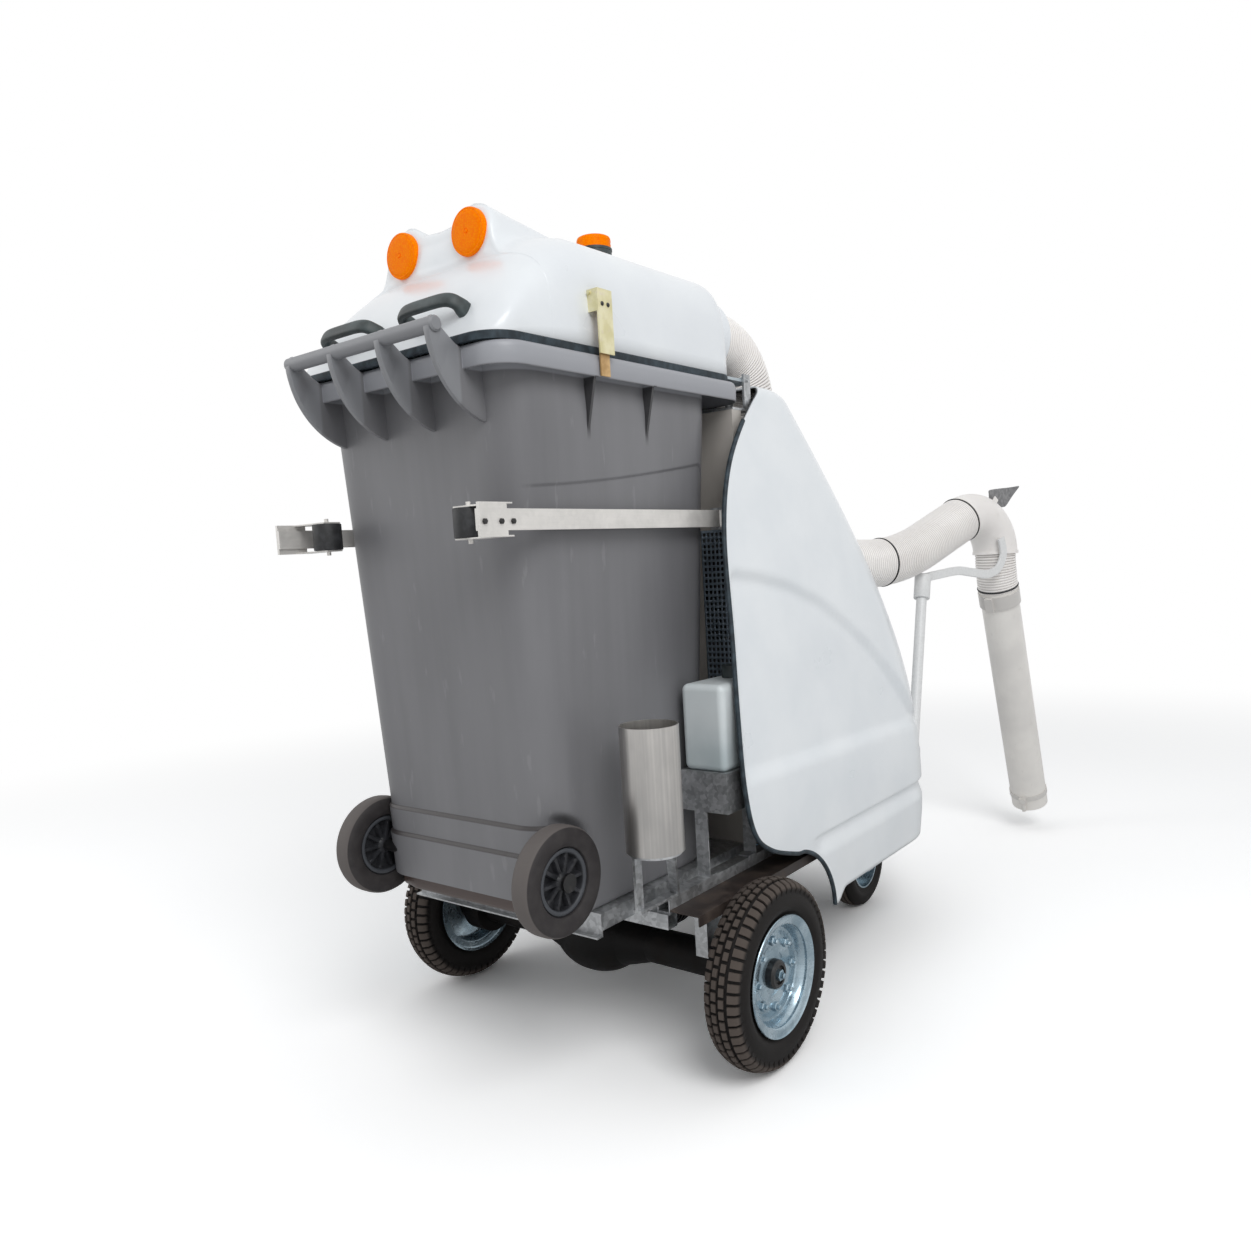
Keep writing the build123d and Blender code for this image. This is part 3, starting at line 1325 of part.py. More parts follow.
# Its bracket: an upright strap and a leaning strap from one foot on the rail's end to a disc under the tube
disc_z = tool_base_z - bracket_wall
strap_foot = (rail_top_z, rail_top_z + bracket_wall)
foot_end = rail_rear_y + tube
with BuildPart() as tool_bracket:
    rod_z((tool_x, tool_y, disc_z + bracket_wall / 2), tool_radius - bracket_inset, bracket_wall)
    upright_x = (tool_x - tool_radius + bracket_inset, tool_x - tool_radius + bracket_inset + bracket_wall)
    block(upright_x, (tool_y - strut_width / 2, tool_y + strut_width / 2), (rail_top_z, tool_base_z))
    block((rail_x, rail_x + strut_width), (tool_y - strut_width / 2, foot_end), strap_foot)
    with BuildSketch(Plane.XY.offset(disc_z)):
        with Locations((tool_x + strut_lean[0], tool_y + strut_lean[1])):
            Rectangle(strut_width, bracket_wall)
    with BuildSketch(Plane.XY.offset(rail_top_z)):
        with Locations((rail_x + strut_width / 2, foot_end - bracket_wall / 2)):
            Rectangle(strut_width, bracket_wall)
    loft()
keep(tool_bracket, "tool_bracket")

# Support rod: stands on a foot on the cover's front corner and leans forward under the hose
rod_foot = Vector(rod_foot_x, bin_axle_y + rod_foot_station, rod_foot_z)
rod_top = Vector(rod_top_x, bin_axle_y + rod_top_station, rod_top_z)
rod_axis = (rod_top - rod_foot).normalized()
rod_length = (rod_top - rod_foot).length
rod_plane = Plane(rod_foot, z_dir=rod_axis)
upright = (Align.CENTER, Align.CENTER, Align.MIN)
with BuildPart() as support_rod:
    with Locations(rod_plane):
        Cylinder(rod_radius, rod_length, align=upright)
    with Locations(Location(tuple(rod_foot), (0, 0, -rod_foot_turn))):
        Box(*rod_foot_block)
    add(cover_outer.part, mode=Mode.SUBTRACT)
keep(support_rod, "support_rod")

# Elbow: a smooth quarter bend that turns the hose down, with ears for the control lever
rise = last_run.normalized()
heading = Vector(rise.X, rise.Y, 0).normalized()
climb = math.degrees(math.asin(rise.Z))
elbow_radius = hose_root + elbow_proud
elbow_plane = Plane(hose_end, x_dir=heading, z_dir=heading.cross(Vector(0, 0, 1)))
with BuildLine(elbow_plane) as elbow_path:
    JernArc(
        start=(0, 0),
        tangent=(math.cos(math.radians(climb)), math.sin(math.radians(climb))),
        radius=elbow_bend,
        arc_size=-(90.0 + climb),
    )
elbow_line = elbow_path.wire()
elbow_end = elbow_line @ 1
lever_turn = math.radians(lever_angle)
climb_turn = math.radians(climb)
bend_centre = Vector(math.sin(climb_turn), -math.cos(climb_turn)) * elbow_bend
crown_point = bend_centre + Vector(math.cos(lever_turn), math.sin(lever_turn)) * (elbow_bend + elbow_radius)
lever_origin = elbow_plane.from_local_coords(crown_point)
along = elbow_plane.x_dir * math.sin(lever_turn) - Vector(0, 0, 1) * math.cos(lever_turn)
lever_plane = Plane(lever_origin, x_dir=along, z_dir=elbow_plane.z_dir)
ear_gap = lever_width / 2 + side_gap
ear_rise = lever_pin[1] + lever_ear / 2
with BuildPart() as hose_elbow:
    with BuildSketch(Plane(elbow_line @ 0, x_dir=elbow_plane.z_dir, z_dir=elbow_line % 0)):
        Circle(elbow_radius)
        Circle(hose_bore, mode=Mode.SUBTRACT)
    sweep(path=elbow_line)
    with BuildSketch(Plane(elbow_end, x_dir=elbow_plane.z_dir, z_dir=(0, 0, 1))):
        Circle(elbow_radius + elbow_ring_wall)
        Circle(cuff_bore, mode=Mode.SUBTRACT)
    extrude(amount=elbow_ring)
    for ear in (-1, 1):
        with BuildSketch(lever_plane.offset(ear * (ear_gap + lever_ear_wall / 2))):
            with Locations((lever_pin[0], (ear_rise - lever_ear_root) / 2)):
                Rectangle(lever_ear, ear_rise + lever_ear_root)
        extrude(amount=lever_ear_wall / 2, both=True)
    with BuildSketch(lever_plane):
        with Locations(lever_pin):
            Circle(lever_pin_radius)
    extrude(amount=ear_gap + lever_ear_wall, both=True)
keep(hose_elbow, "hose_elbow")

with BuildPart() as drive_lever:
    with BuildSketch(lever_plane):
        Polygon(*lever_outline, align=None)
        with Locations(lever_pin):
            Circle(lever_pin_radius + lever_eye_wall)
            Circle(lever_pin_radius + running_fit, mode=Mode.SUBTRACT)
    extrude(amount=lever_width / 2, both=True)
keep(drive_lever, "drive_lever")

# Cuff: a short ribbed length that lets the wand hang forward, then the wand with its collar and nozzle
cuff_plane = Plane(elbow_end, x_dir=(0, 1, 0), z_dir=(1, 0, 0))
with BuildLine(cuff_plane) as cuff_path:
    JernArc(
        start=(0, 0),
        tangent=(0, -1),
        radius=cuff_length / math.radians(wand_lean),
        arc_size=wand_lean,
    )
cuff_line = cuff_path.wire()
wand_cuff = ribbed_tube(cuff_line, (1, 0, 0), cuff_root, cuff_crest, cuff_bore)
keep(wand_cuff, "wand_cuff")

wand_plane = Plane(cuff_line @ 1, x_dir=(1, 0, 0), z_dir=cuff_line % 1)
with BuildPart() as wand_tube:
    with BuildSketch(wand_plane):
        Circle(wand_radius)
    extrude(amount=wand_length)
    with BuildSketch(wand_plane.offset(collar_drop)):
        Circle(wand_radius + collar_wall)
        with Locations((-collar_lug / 2, wand_radius + collar_wall)):
            Rectangle(collar_lug, collar_lug)
    extrude(amount=collar_height)
    with BuildSketch(wand_plane):
        Circle(wand_radius - wand_wall)
    extrude(amount=wand_length, mode=Mode.SUBTRACT)
keep(wand_tube, "wand_tube")

band_plane = wand_plane.offset(wand_length - band_up)
nozzle_out = wand_radius + band_block / 2
with BuildPart() as spray_nozzle:
    with BuildSketch(band_plane):
        Circle(wand_radius + band_wall)
        with Locations((0, nozzle_out)):
            Rectangle(band_block, band_block)
        Circle(wand_radius + seat_gap, mode=Mode.SUBTRACT)
    extrude(amount=band_height)
    with Locations(band_plane.offset(band_height)):
        with Locations((0, nozzle_out, 0)):
            Cylinder(nozzle_radius, nozzle_length, align=upright)
keep(spray_nozzle, "spray_nozzle")

# Carrier: a sleeve that turns on the support rod, and a hooked flat bar that holds the elbow
sleeve_start = rod_length - sleeve_length + sleeve_cap
bar_start = rod_foot + rod_axis * (rod_length - bar_drop)
reach = math.hypot(elbow_end.X - bar_start.X, elbow_end.Y - bar_start.Y)
stand_off = elbow_radius + elbow_ring_wall + carrier_gap + carrier_thick / 2
bearing = math.atan2(elbow_end.X - bar_start.X, elbow_end.Y - bar_start.Y) + math.asin(stand_off / reach)
bar_run = math.sqrt(reach * reach - stand_off * stand_off)
bar_heading = Vector(math.sin(bearing), math.cos(bearing), 0)
bar_plane = Plane(bar_start, x_dir=bar_heading, z_dir=bar_heading.cross(Vector(0, 0, 1)))
hook_rise = elbow_end.Z - bar_start.Z + hook_up
hook_low = (bar_run + hook_lean[0], -hook_sag)
hook_end = (bar_run + hook_lean[1], hook_rise)
with BuildLine(bar_plane) as bar_path:
    FilletPolyline((0, 0), hook_low, hook_end, radius=carrier_bend)
with BuildPart() as wand_carrier:
    with Locations(rod_plane.offset(sleeve_start)):
        Cylinder(sleeve_radius, sleeve_length, align=upright)
    with BuildSketch(Plane(bar_start, x_dir=bar_plane.z_dir, z_dir=bar_path.wire() % 0)):
        Rectangle(carrier_thick, carrier_width)
    sweep(path=bar_path.wire())
    with Locations(rod_plane.offset(sleeve_start)):
        Cylinder(
            rod_radius + running_fit,
            rod_length - sleeve_start + seat_gap,
            align=upright,
            mode=Mode.SUBTRACT,
        )
keep(wand_carrier, "wand_carrier")
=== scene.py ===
import math

import bmesh
import bpy
import numpy as np
from mathutils import Matrix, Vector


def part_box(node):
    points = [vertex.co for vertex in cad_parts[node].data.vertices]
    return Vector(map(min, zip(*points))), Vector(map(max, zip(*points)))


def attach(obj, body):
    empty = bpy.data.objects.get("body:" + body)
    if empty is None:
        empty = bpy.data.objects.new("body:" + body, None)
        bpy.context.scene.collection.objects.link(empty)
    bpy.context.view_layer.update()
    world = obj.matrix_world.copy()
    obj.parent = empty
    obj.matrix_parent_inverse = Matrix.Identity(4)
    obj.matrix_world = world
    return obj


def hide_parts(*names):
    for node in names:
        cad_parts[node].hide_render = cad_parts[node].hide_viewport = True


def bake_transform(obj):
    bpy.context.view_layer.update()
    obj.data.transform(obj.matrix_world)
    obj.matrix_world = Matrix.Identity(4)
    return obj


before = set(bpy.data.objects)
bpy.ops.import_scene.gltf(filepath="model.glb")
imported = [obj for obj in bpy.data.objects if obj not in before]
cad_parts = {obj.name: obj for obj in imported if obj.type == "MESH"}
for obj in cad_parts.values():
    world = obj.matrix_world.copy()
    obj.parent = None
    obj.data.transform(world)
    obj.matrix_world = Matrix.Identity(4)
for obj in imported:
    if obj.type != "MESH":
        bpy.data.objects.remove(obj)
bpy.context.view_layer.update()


# Chassis
# Two square steel rails with cross tubes, axle saddles and a folded platform, welded up and then
# dipped in zinc, which freezes in dull grey spangles. The brackets and the tank's tray match it.

class Wire:
    """A shader socket: arithmetic on it adds Math nodes, and make() adds any other node."""

    def __init__(self, tree, socket=None):
        self.tree = tree
        self.socket = socket

    def make(self, kind, settings=None, sockets=None, out=0):
        """Add a node: its settings first, then the values or links of its sockets."""
        node = self.tree.nodes.new("ShaderNode" + kind)
        for name, value in (settings or {}).items():
            setattr(node, name, value)
        for name, value in (sockets or {}).items():
            if isinstance(value, Wire):
                self.tree.links.new(value.socket, node.inputs[name])
            else:
                node.inputs[name].default_value = value
        return Wire(self.tree, node.outputs[out] if node.outputs else None)

    def math(self, operation, *values):
        """A Math node on these values or sockets."""
        return self.make("Math", {"operation": operation}, dict(enumerate(values)))

    def __add__(self, other):
        return self.math("ADD", self, other)

    def __sub__(self, other):
        return self.math("SUBTRACT", self, other)

    def __mul__(self, other):
        return self.math("MULTIPLY", self, other)

    def __radd__(self, other):
        return self.math("ADD", other, self)

    def __rsub__(self, other):
        return self.math("SUBTRACT", other, self)

    def __rmul__(self, other):
        return self.math("MULTIPLY", other, self)

    def place(self):
        """Where a point is on the piece at rest, in metres."""
        return self.make("TexCoord", out="Object")

    def axis(self, index):
        """One coordinate of that place: 0, 1 or 2 for X, Y or Z."""
        return self.make("SeparateXYZ", sockets={0: self.place()}, out=index)

    def noise(self, scale, detail=3.0, stretch=(1.0, 1.0, 1.0)):
        """Cloudy noise from 0 to 1, so many clouds a metre, drawn out along an axis by a small stretch."""
        spot = self.make("Mapping", sockets={"Vector": self.place(), "Scale": stretch})
        return self.make("TexNoise", sockets={"Vector": spot, "Scale": scale, "Detail": detail})

    def ease(self, low, high):
        """0 below low, 1 above high, smooth between."""
        settings = {"interpolation_type": "SMOOTHSTEP"}
        return self.make("MapRange", settings, {0: self, 1: low, 2: high})

    def near(self, middle, reach, fade):
        """1 within reach of a middle value, fading to 0 beyond it."""
        apart = self.math("ABSOLUTE", self - middle)
        return 1.0 - apart.ease(reach, reach + fade)

    def mix(self, first, second):
        """A colour between two others, this socket saying how far."""
        return self.make("Mix", {"data_type": "RGBA"}, {0: self, 6: first, 7: second}, 2)

    def bump(self, strength, depth):
        """A bumped normal, this socket being the height."""
        return self.make("Bump", sockets={"Height": self, "Strength": strength, "Distance": depth})

    def coat(self, **sockets):
        """The shader itself, and the material's output."""
        names = {name.replace("_", " "): value for name, value in sockets.items()}
        shader = self.make("BsdfPrincipled", sockets=names)
        self.make("OutputMaterial", sockets={"Surface": shader})


def finish(name):
    """A new material with an empty node tree, and a wire to build it from."""
    material = bpy.data.materials.new(name)
    material.use_nodes = True
    material.node_tree.nodes.clear()
    return material, Wire(material.node_tree)


def rgb(red, green, blue):
    """A colour from 0 to 255, as seen on a screen, turned into light."""
    tones = np.array([red, green, blue]) / 255.0
    light = np.where(tones > 0.04045, ((tones + 0.055) / 1.055) ** 2.4, tones / 12.92)
    return (*light.tolist(), 1.0)


def dress(material, *nodes):
    """Give CAD nodes a finish."""
    for node in nodes:
        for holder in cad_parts[node].material_slots:
            holder.material = material


def zinc(name, dark, light, shine, spangled=0.3, metal=0.8):
    """Hot-dip galvanised steel: faint spangles of two greys, clouded, and streaked by handling."""
    material, wire = finish(name)
    spangle = wire.make(
        "TexVoronoi",
        {"feature": "F1"},
        {"Vector": wire.place(), "Scale": 120.0, "Randomness": 1.0},
        "Color",
    )
    flake = wire.make("SeparateColor", sockets={0: spangle}, out=0)
    cloud = wire.noise(14.0, 5.0)
    scratch = wire.noise(300.0, 2.0, (0.05, 0.05, 1.0))
    tone = flake * spangled + cloud * (0.85 - spangled) + scratch * 0.15
    wire.coat(
        Base_Color=tone.ease(0.2, 0.8).mix(dark, light),
        Metallic=metal,
        Roughness=shine + 0.3 * cloud * flake,
        Normal=(cloud * 0.6 + flake * spangled * 0.5).bump(0.15, 0.002),
    )
    return material


galvanised = zinc("galvanised", rgb(152, 154, 156), rgb(202, 204, 206), 0.32)
dress(
    galvanised,
    "frame_rails",
    "frame_cross_members",
    "bin_platform",
    "tank_tray",
    "tool_bracket",
    "bulkhead_brackets",
)

# Transaxle and drive motor
# A cast differential case with axle tubes and brake drums, and a finned motor bolted to its neck.
# Both are sprayed black over the rough casting skin, and road dust dulls them in patches.

black_cast, wire = finish("black_cast")
grit = wire.noise(420.0, 3.0)
dust = wire.noise(18.0, 4.0).ease(0.45, 0.75)
black_cast_paint = (dust * 0.6).mix(rgb(11, 10, 10), rgb(32, 28, 26))
wire.coat(
    Base_Color=black_cast_paint,
    Roughness=0.5 + 0.3 * dust,
    Normal=grit.bump(0.35, 0.0008),
    Specular_IOR_Level=0.15,
)
dress(black_cast, "transaxle", "drive_motor")

# Rear wheels
# Block-tread tyres, moulded with four rows of staggered lugs, on galvanised rims pressed from sheet:
# a rolled flange, a deep barrel and a disc held by eight studs with nuts, round a black hub cap.

MM = 0.001
sides = (("left", -1.0), ("right", 1.0))
# Stations along the machine are counted from the bin's axle, which lies at this Y in the frame
bin_y = -1089.75
rear_wheel_x = 438.0
tyre_radius = 190.0
rear_axle = (bin_y + 390.0, tyre_radius)


def net(points, ring=False, loop=False):
    """Quads over rows by columns of points; ring closes each row on itself, loop the rows."""
    rows, columns = points.shape[:2]
    row = np.arange(rows if loop else rows - 1)[:, None]
    column = np.arange(columns if ring else columns - 1)[None, :]
    here = row * columns
    above = (row + 1) % rows * columns
    after = (column + 1) % columns
    corners = np.broadcast_arrays(here + column, here + after, above + after, above + column)
    return points.reshape(-1, 3), np.stack(corners, -1).reshape(-1, 4)


def joined(*nets):
    """Several nets as one, the quads of each counted on from the points before it."""
    starts = np.cumsum([0] + [len(points) for points, quads in nets])
    points = np.concatenate([points for points, quads in nets])
    return points, np.concatenate([quads + start for (_, quads), start in zip(nets, starts)])


def piece(name, shape, material, body, stands_for=(), crease=35.0, wall=0.0, marks=None):
    """A finished piece: doubles merged, faces turned outwards, smooth but for creases, on its body if any.

    Marks, one number a point, are kept on the mesh for its material.
    """
    points, quads = shape
    mesh = bpy.data.meshes.new(name)
    mesh.from_pydata((points * MM).tolist(), [], quads.tolist())
    if marks is not None:
        mesh.attributes.new("mark", "FLOAT", "POINT").data.foreach_set("value", marks)
    weld = bmesh.new()
    weld.from_mesh(mesh)
    bmesh.ops.remove_doubles(weld, verts=weld.verts, dist=0.00002)
    bmesh.ops.recalc_face_normals(weld, faces=weld.faces)
    weld.to_mesh(mesh)
    weld.free()
    mesh.polygons.foreach_set("use_smooth", np.ones(len(mesh.polygons), bool))
    mesh.set_sharp_from_angle(angle=math.radians(crease))
    mesh.materials.append(material)
    thing = bpy.data.objects.new(name, mesh)
    bpy.context.collection.objects.link(thing)
    if wall:
        shell = thing.modifiers.new("wall", "SOLIDIFY")
        shell.thickness = wall * MM
        shell.offset = -1.0
    if stands_for:
        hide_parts(*stands_for)
    if body:
        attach(thing, body)
    return thing


def turned(profile, centre, axis, steps=64):
    """A profile of (radius, distance along the axis) turned about that axis through the centre."""
    profile = np.asarray(profile, float)
    axis = np.asarray(axis, float) / np.linalg.norm(axis)
    side = np.cross(axis, (0.0, 0.0, 1.0) if abs(axis[2]) < 0.9 else (0.0, 1.0, 0.0))
    side /= np.linalg.norm(side)
    up = np.cross(axis, side)
    turn = np.linspace(0.0, 2 * np.pi, steps, endpoint=False)[:, None, None]
    spoke = np.cos(turn) * side + np.sin(turn) * up
    points = np.asarray(centre) + profile[:, 1, None] * axis + profile[:, 0, None] * spoke
    return net(points, loop=True)


def arc(first, middle, last, steps):
    """Points on the circle through three points, from the first to the last."""
    a, b, c = (complex(*p) for p in (first, middle, last))
    w = (c - a) / (b - a)
    centre = (b - a) * (w - abs(w) ** 2) / (2j * w.imag) + a
    start, half, stop = np.angle([a - centre, b - centre, c - centre])
    sweep = (stop - start) % (2 * np.pi)
    if (half - start) % (2 * np.pi) > sweep:
        sweep -= 2 * np.pi
    angles = start + sweep * np.linspace(0.0, 1.0, steps)
    return np.stack([centre.real + abs(a - centre) * np.cos(angles),
                     centre.imag + abs(a - centre) * np.sin(angles)], -1)


def ease(value, low, high):
    """0 below low, 1 above high, smooth between."""
    share = np.clip((value - low) / (high - low), 0.0, 1.0)
    return share * share * (3.0 - 2.0 * share)


def block_tyre(centre_x, sign):
    """A tyre turned from its section, with lugs on its tread.

    A lug's height is the lesser of two trapezoids, one across the rows and one round the wheel, where every
    second row is shifted by half a pitch. Each point is marked with how far it stands out of the grooves,
    on the tread alone.
    """
    lugs = 54
    rows = 4
    depth = 6.0
    floor = 2.5
    top = 3.5
    tread_half = 34.0
    crown_drop = 10.0
    groove = np.array([-top, -floor, floor, top])
    row_width = 2 * tread_half / rows
    edges = row_width * np.arange(1, rows) - tread_half
    across = np.sort(np.concatenate([
        (edges[:, None] + groove).ravel(),
        row_width * (np.arange(rows) + 0.5) - tread_half,
        [-tread_half, tread_half],
    ]))
    crown = np.stack([across, tyre_radius - crown_drop * (across / tread_half) ** 2], -1)
    wall = arc((tread_half, tyre_radius - crown_drop), (43.0, 155.5), (30.0, 122.0), 14)[1:]
    seat = np.array([[30.0, 112.0], [28.0, 103.0], [0.0, 102.5]])
    right = np.concatenate([crown, wall, seat])
    left = np.concatenate([wall, seat[:-1]])[::-1] * (-1.0, 1.0)
    section = np.concatenate([left, right])
    ahead = np.roll(section, -1, 0) - np.roll(section, 1, 0)
    outward = np.stack([-ahead[:, 1], ahead[:, 0]], -1)
    outward /= np.linalg.norm(outward, axis=1)[:, None]
    pitch = 2 * np.pi / lugs
    steps = np.concatenate([groove / tyre_radius, [pitch / 4]])
    turn = (np.arange(2 * lugs)[:, None] * pitch / 2 + steps).ravel()
    row = np.clip(np.floor((section[:, 0] + tread_half) / row_width), 0, rows - 1)
    shift = (row % 2) * pitch / 2
    round_gap = np.abs((turn[:, None] - shift + pitch / 2) % pitch - pitch / 2) * tyre_radius
    round_lug = np.clip((round_gap - floor) / (top - floor), 0.0, 1.0)
    edge_gap = np.abs(section[:, 0, None] - edges).min(1)
    row_lug = np.clip((edge_gap - floor) / (top - floor), 0.0, 1.0)
    row_lug = row_lug * np.clip((section[:, 1] - 166.0) / 3.0, 0.0, 1.0)
    fade = np.clip((section[:, 1] - 138.0) / 26.0, 0.0, 1.0)
    sunk = depth * fade * (1.0 - np.minimum(round_lug, row_lug))
    out_of_groove = (1.0 - sunk / depth) * ease(section[:, 1], 168.0, 176.0)
    section = section[None] - sunk[..., None] * outward
    x = centre_x + sign * section[..., 0]
    y = rear_axle[0] + section[..., 1] * np.cos(turn)[:, None]
    z = rear_axle[1] + section[..., 1] * np.sin(turn)[:, None]
    return net(np.stack([x, y, z], -1), ring=True, loop=True), out_of_groove.ravel()


def nuts(centre, axis, count, radius, across, height):
    """Hex nuts on a ring: each a six-sided profile with a stud end, turned about its own line."""
    angles = 2 * np.pi * np.arange(count) / count
    corner = across * 0.577
    stud = across * 0.3
    profile = [
        (0.0, -2.0), (corner, -2.0), (corner, height - 1.5), (across * 0.5, height), (stud, height),
        (stud, height + 5.0), (across * 0.2, height + 7.0), (0.0, height + 7.0),
    ]
    spots = [(centre[0], centre[1] + radius * np.cos(a), centre[2] + radius * np.sin(a)) for a in angles]
    return joined(*[turned(profile, spot, axis, 6) for spot in spots])


def axle_distance(wire, axle):
    """How far a point is from an axle that runs across the machine: the length of its Y and Z off it."""
    centre = (0.0, axle[0] * MM, axle[1] * MM)
    off = wire.make("VectorMath", {"operation": "SUBTRACT"}, {0: wire.place(), 1: centre})
    flat = wire.make("VectorMath", {"operation": "MULTIPLY"}, {0: off, 1: (0.0, 1.0, 1.0)})
    return wire.make("VectorMath", {"operation": "LENGTH"}, {0: flat}, "Value")


def rubber(name, axle, floor=None, top=None):
    """Tyre rubber about an axle: near black with moulding rings and grain, dusty and paler on its tread.

    The tread is what lies above a floor radius, or where there is none, what the mesh has marked.
    """
    material, wire = finish(name)
    radius = axle_distance(wire, axle)
    marked = wire.make("Attribute", {"attribute_name": "mark"}, out="Fac")
    worn = (radius.ease(floor, top) if floor else marked) * 0.75 + wire.noise(60.0, 4.0) * 0.35
    rings = wire.math("SINE", radius * 1400.0)
    wire.coat(
        Base_Color=worn.ease(0.15, 1.05).mix(rgb(20, 17, 16), rgb(86, 78, 73)),
        Roughness=0.62 + 0.25 * worn,
        Normal=(wire.noise(900.0, 2.0) + 0.12 * rings).bump(0.25, 0.0006),
        Specular_IOR_Level=0.25,
    )
    return material


def two_tone(name, dark, light, cloud, spread, rough, grain, patchy=False, **sockets):
    """A finish clouded between two tones, with a fine grain.

    cloud holds the noise's scale, detail and stretch, and spread the part of it that blends the tones.
    rough is the least roughness and what the cloud adds, or its patches do, and grain the bump's scale,
    strength and depth.
    """
    material, wire = finish(name)
    noise = wire.noise(*cloud)
    patch = noise.ease(*spread)
    scale, strength, depth = grain
    wire.coat(
        Base_Color=patch.mix(dark, light),
        Roughness=rough[0] + rough[1] * (patch if patchy else noise),
        Normal=wire.noise(scale).bump(strength, depth),
        **sockets,
    )
    return material


tyre_rubber = rubber("tyre_rubber", rear_axle)
rim_zinc = zinc("rim_zinc", rgb(112, 136, 150), rgb(194, 210, 219), 0.16, 0.06)
hub_black = two_tone(
    "hub_black", rgb(20, 20, 21), rgb(52, 50, 49), cloud=(70.0, 4.0), spread=(0.5, 0.8),
    rough=(0.35, 0.3), grain=(500.0, 0.15, 0.0005), patchy=True,
)

rim_section = [
    (16.0, 9.0), (40.0, 9.0), (46.0, 7.0), (55.0, 7.0), (60.0, 10.0), (77.0, 10.0), (82.0, 7.5),
    (88.0, 7.5), (92.5, 9.0), (95.0, 13.0), (96.0, 20.0), (99.0, 24.0), (100.5, 27.0), (108.0, 30.6),
    (114.0, 31.4), (118.0, 32.6), (120.4, 34.6), (121.0, 36.6), (120.0, 38.4), (117.6, 37.0),
    (113.0, 35.4), (104.0, 34.0), (101.4, 32.0), (101.4, -33.0), (112.0, -33.6), (118.0, -35.0),
    (121.0, -38.0), (118.0, -36.6), (112.0, -31.0), (99.0, -29.0), (96.0, -20.0), (95.0, 1.0),
    (90.0, 4.0), (16.0, 4.0), (16.0, 9.0),
]
hub_profile = [
    (0.0, -12.0), (44.0, -12.0), (44.0, 3.0), (30.0, 4.0), (29.0, 22.0), (25.0, 26.0), (19.0, 26.5),
    (18.0, 22.0), (13.0, 22.0), (0.0, 22.0),
]
for side, sign in sides:
    body = f"rear_wheel_{side}"
    hub = (sign * rear_wheel_x, *rear_axle)
    outward = (sign, 0.0, 0.0)
    tyre_shape, tread_marks = block_tyre(sign * rear_wheel_x, sign)
    piece(f"rear_block_tyre_{side}", tyre_shape, tyre_rubber, body, [f"rear_tyre_{side}"],
          crease=50.0, marks=tread_marks)
    stud_seat = (sign * (rear_wheel_x + 9.0), *rear_axle)
    centre_nut = (sign * (rear_wheel_x + 22.0), *rear_axle)
    rim_shape = joined(
        turned(rim_section, hub, outward, 96),
        nuts(stud_seat, outward, 8, 68.0, 17.0, 9.0),
        nuts(centre_nut, outward, 1, 0.0, 20.0, 9.0),
    )
    piece(f"rear_dish_rim_{side}", rim_shape, rim_zinc, body, [f"rear_rim_{side}"])
    piece(f"rear_hub_cap_{side}", turned(hub_profile, hub, outward, 48), hub_black, body)

# Casters
# Two swivel forks folded from plate under the cover's nose, each with a small pneumatic tyre of
# plain running ribs on a pressed rim. Their steel is galvanised like the frame.

caster_axle = (bin_y + 1295.0, 125.0)
caster_x = 197.0
caster_section = np.concatenate([
    [(72.6, -28.0), (74.0, -30.0), (82.0, -31.0)],
    arc((84.0, -31.4), (98.0, -34.8), (114.0, -28.0), 8),
    [(119.0, -25.0), (121.5, -20.0), (118.5, -19.0), (118.5, -16.5), (122.8, -15.5), (124.0, -8.0),
     (120.5, -7.0), (120.5, -4.5), (124.8, -3.5), (124.8, 3.5), (120.5, 4.5), (120.5, 7.0),
     (124.0, 8.0), (122.8, 15.5), (118.5, 16.5), (118.5, 19.0), (121.5, 20.0), (119.0, 25.0)],
    arc((114.0, 28.0), (98.0, 34.8), (84.0, 31.4), 8),
    [(82.0, 31.0), (74.0, 30.0), (72.6, 28.0), (72.6, -28.0)],
])
caster_rubber = rubber("caster_rubber", caster_axle, 0.120, 0.124)
for side, sign in sides:
    caster_tyre = turned(caster_section, (sign * caster_x, *caster_axle), (1.0, 0.0, 0.0), 72)
    piece(f"caster_tyre_{side}", caster_tyre, caster_rubber, f"front_wheel_{side}",
          [f"front_tyre_{side}"])
    dress(rim_zinc, f"front_rim_{side}")
    dress(galvanised, f"caster_fork_{side}")

# Bulkhead, vent screens and splash guards
# The bulkhead is a folded sheet behind the bin, painted grey. Its two windows hold screens of
# blue-grey sheet punched with square holes. Brown plastic shelves keep the wheels' spray off the rails.

sheet_grey = two_tone(
    "sheet_grey", rgb(178, 173, 167), rgb(210, 205, 199), cloud=(6.0, 5.0, (1.0, 1.0, 0.5)),
    spread=(0.3, 0.75), rough=(0.45, 0.25), grain=(260.0, 0.12, 0.0008), Metallic=0.25,
)
dress(sheet_grey, "bulkhead")

screen_paint = two_tone(
    "screen_paint", rgb(146, 160, 174), rgb(180, 190, 200), cloud=(130.0, 5.0), spread=(0.62, 0.72),
    rough=(0.4, 0.2), grain=(340.0, 0.15, 0.0006), patchy=True, Metallic=0.3,
)


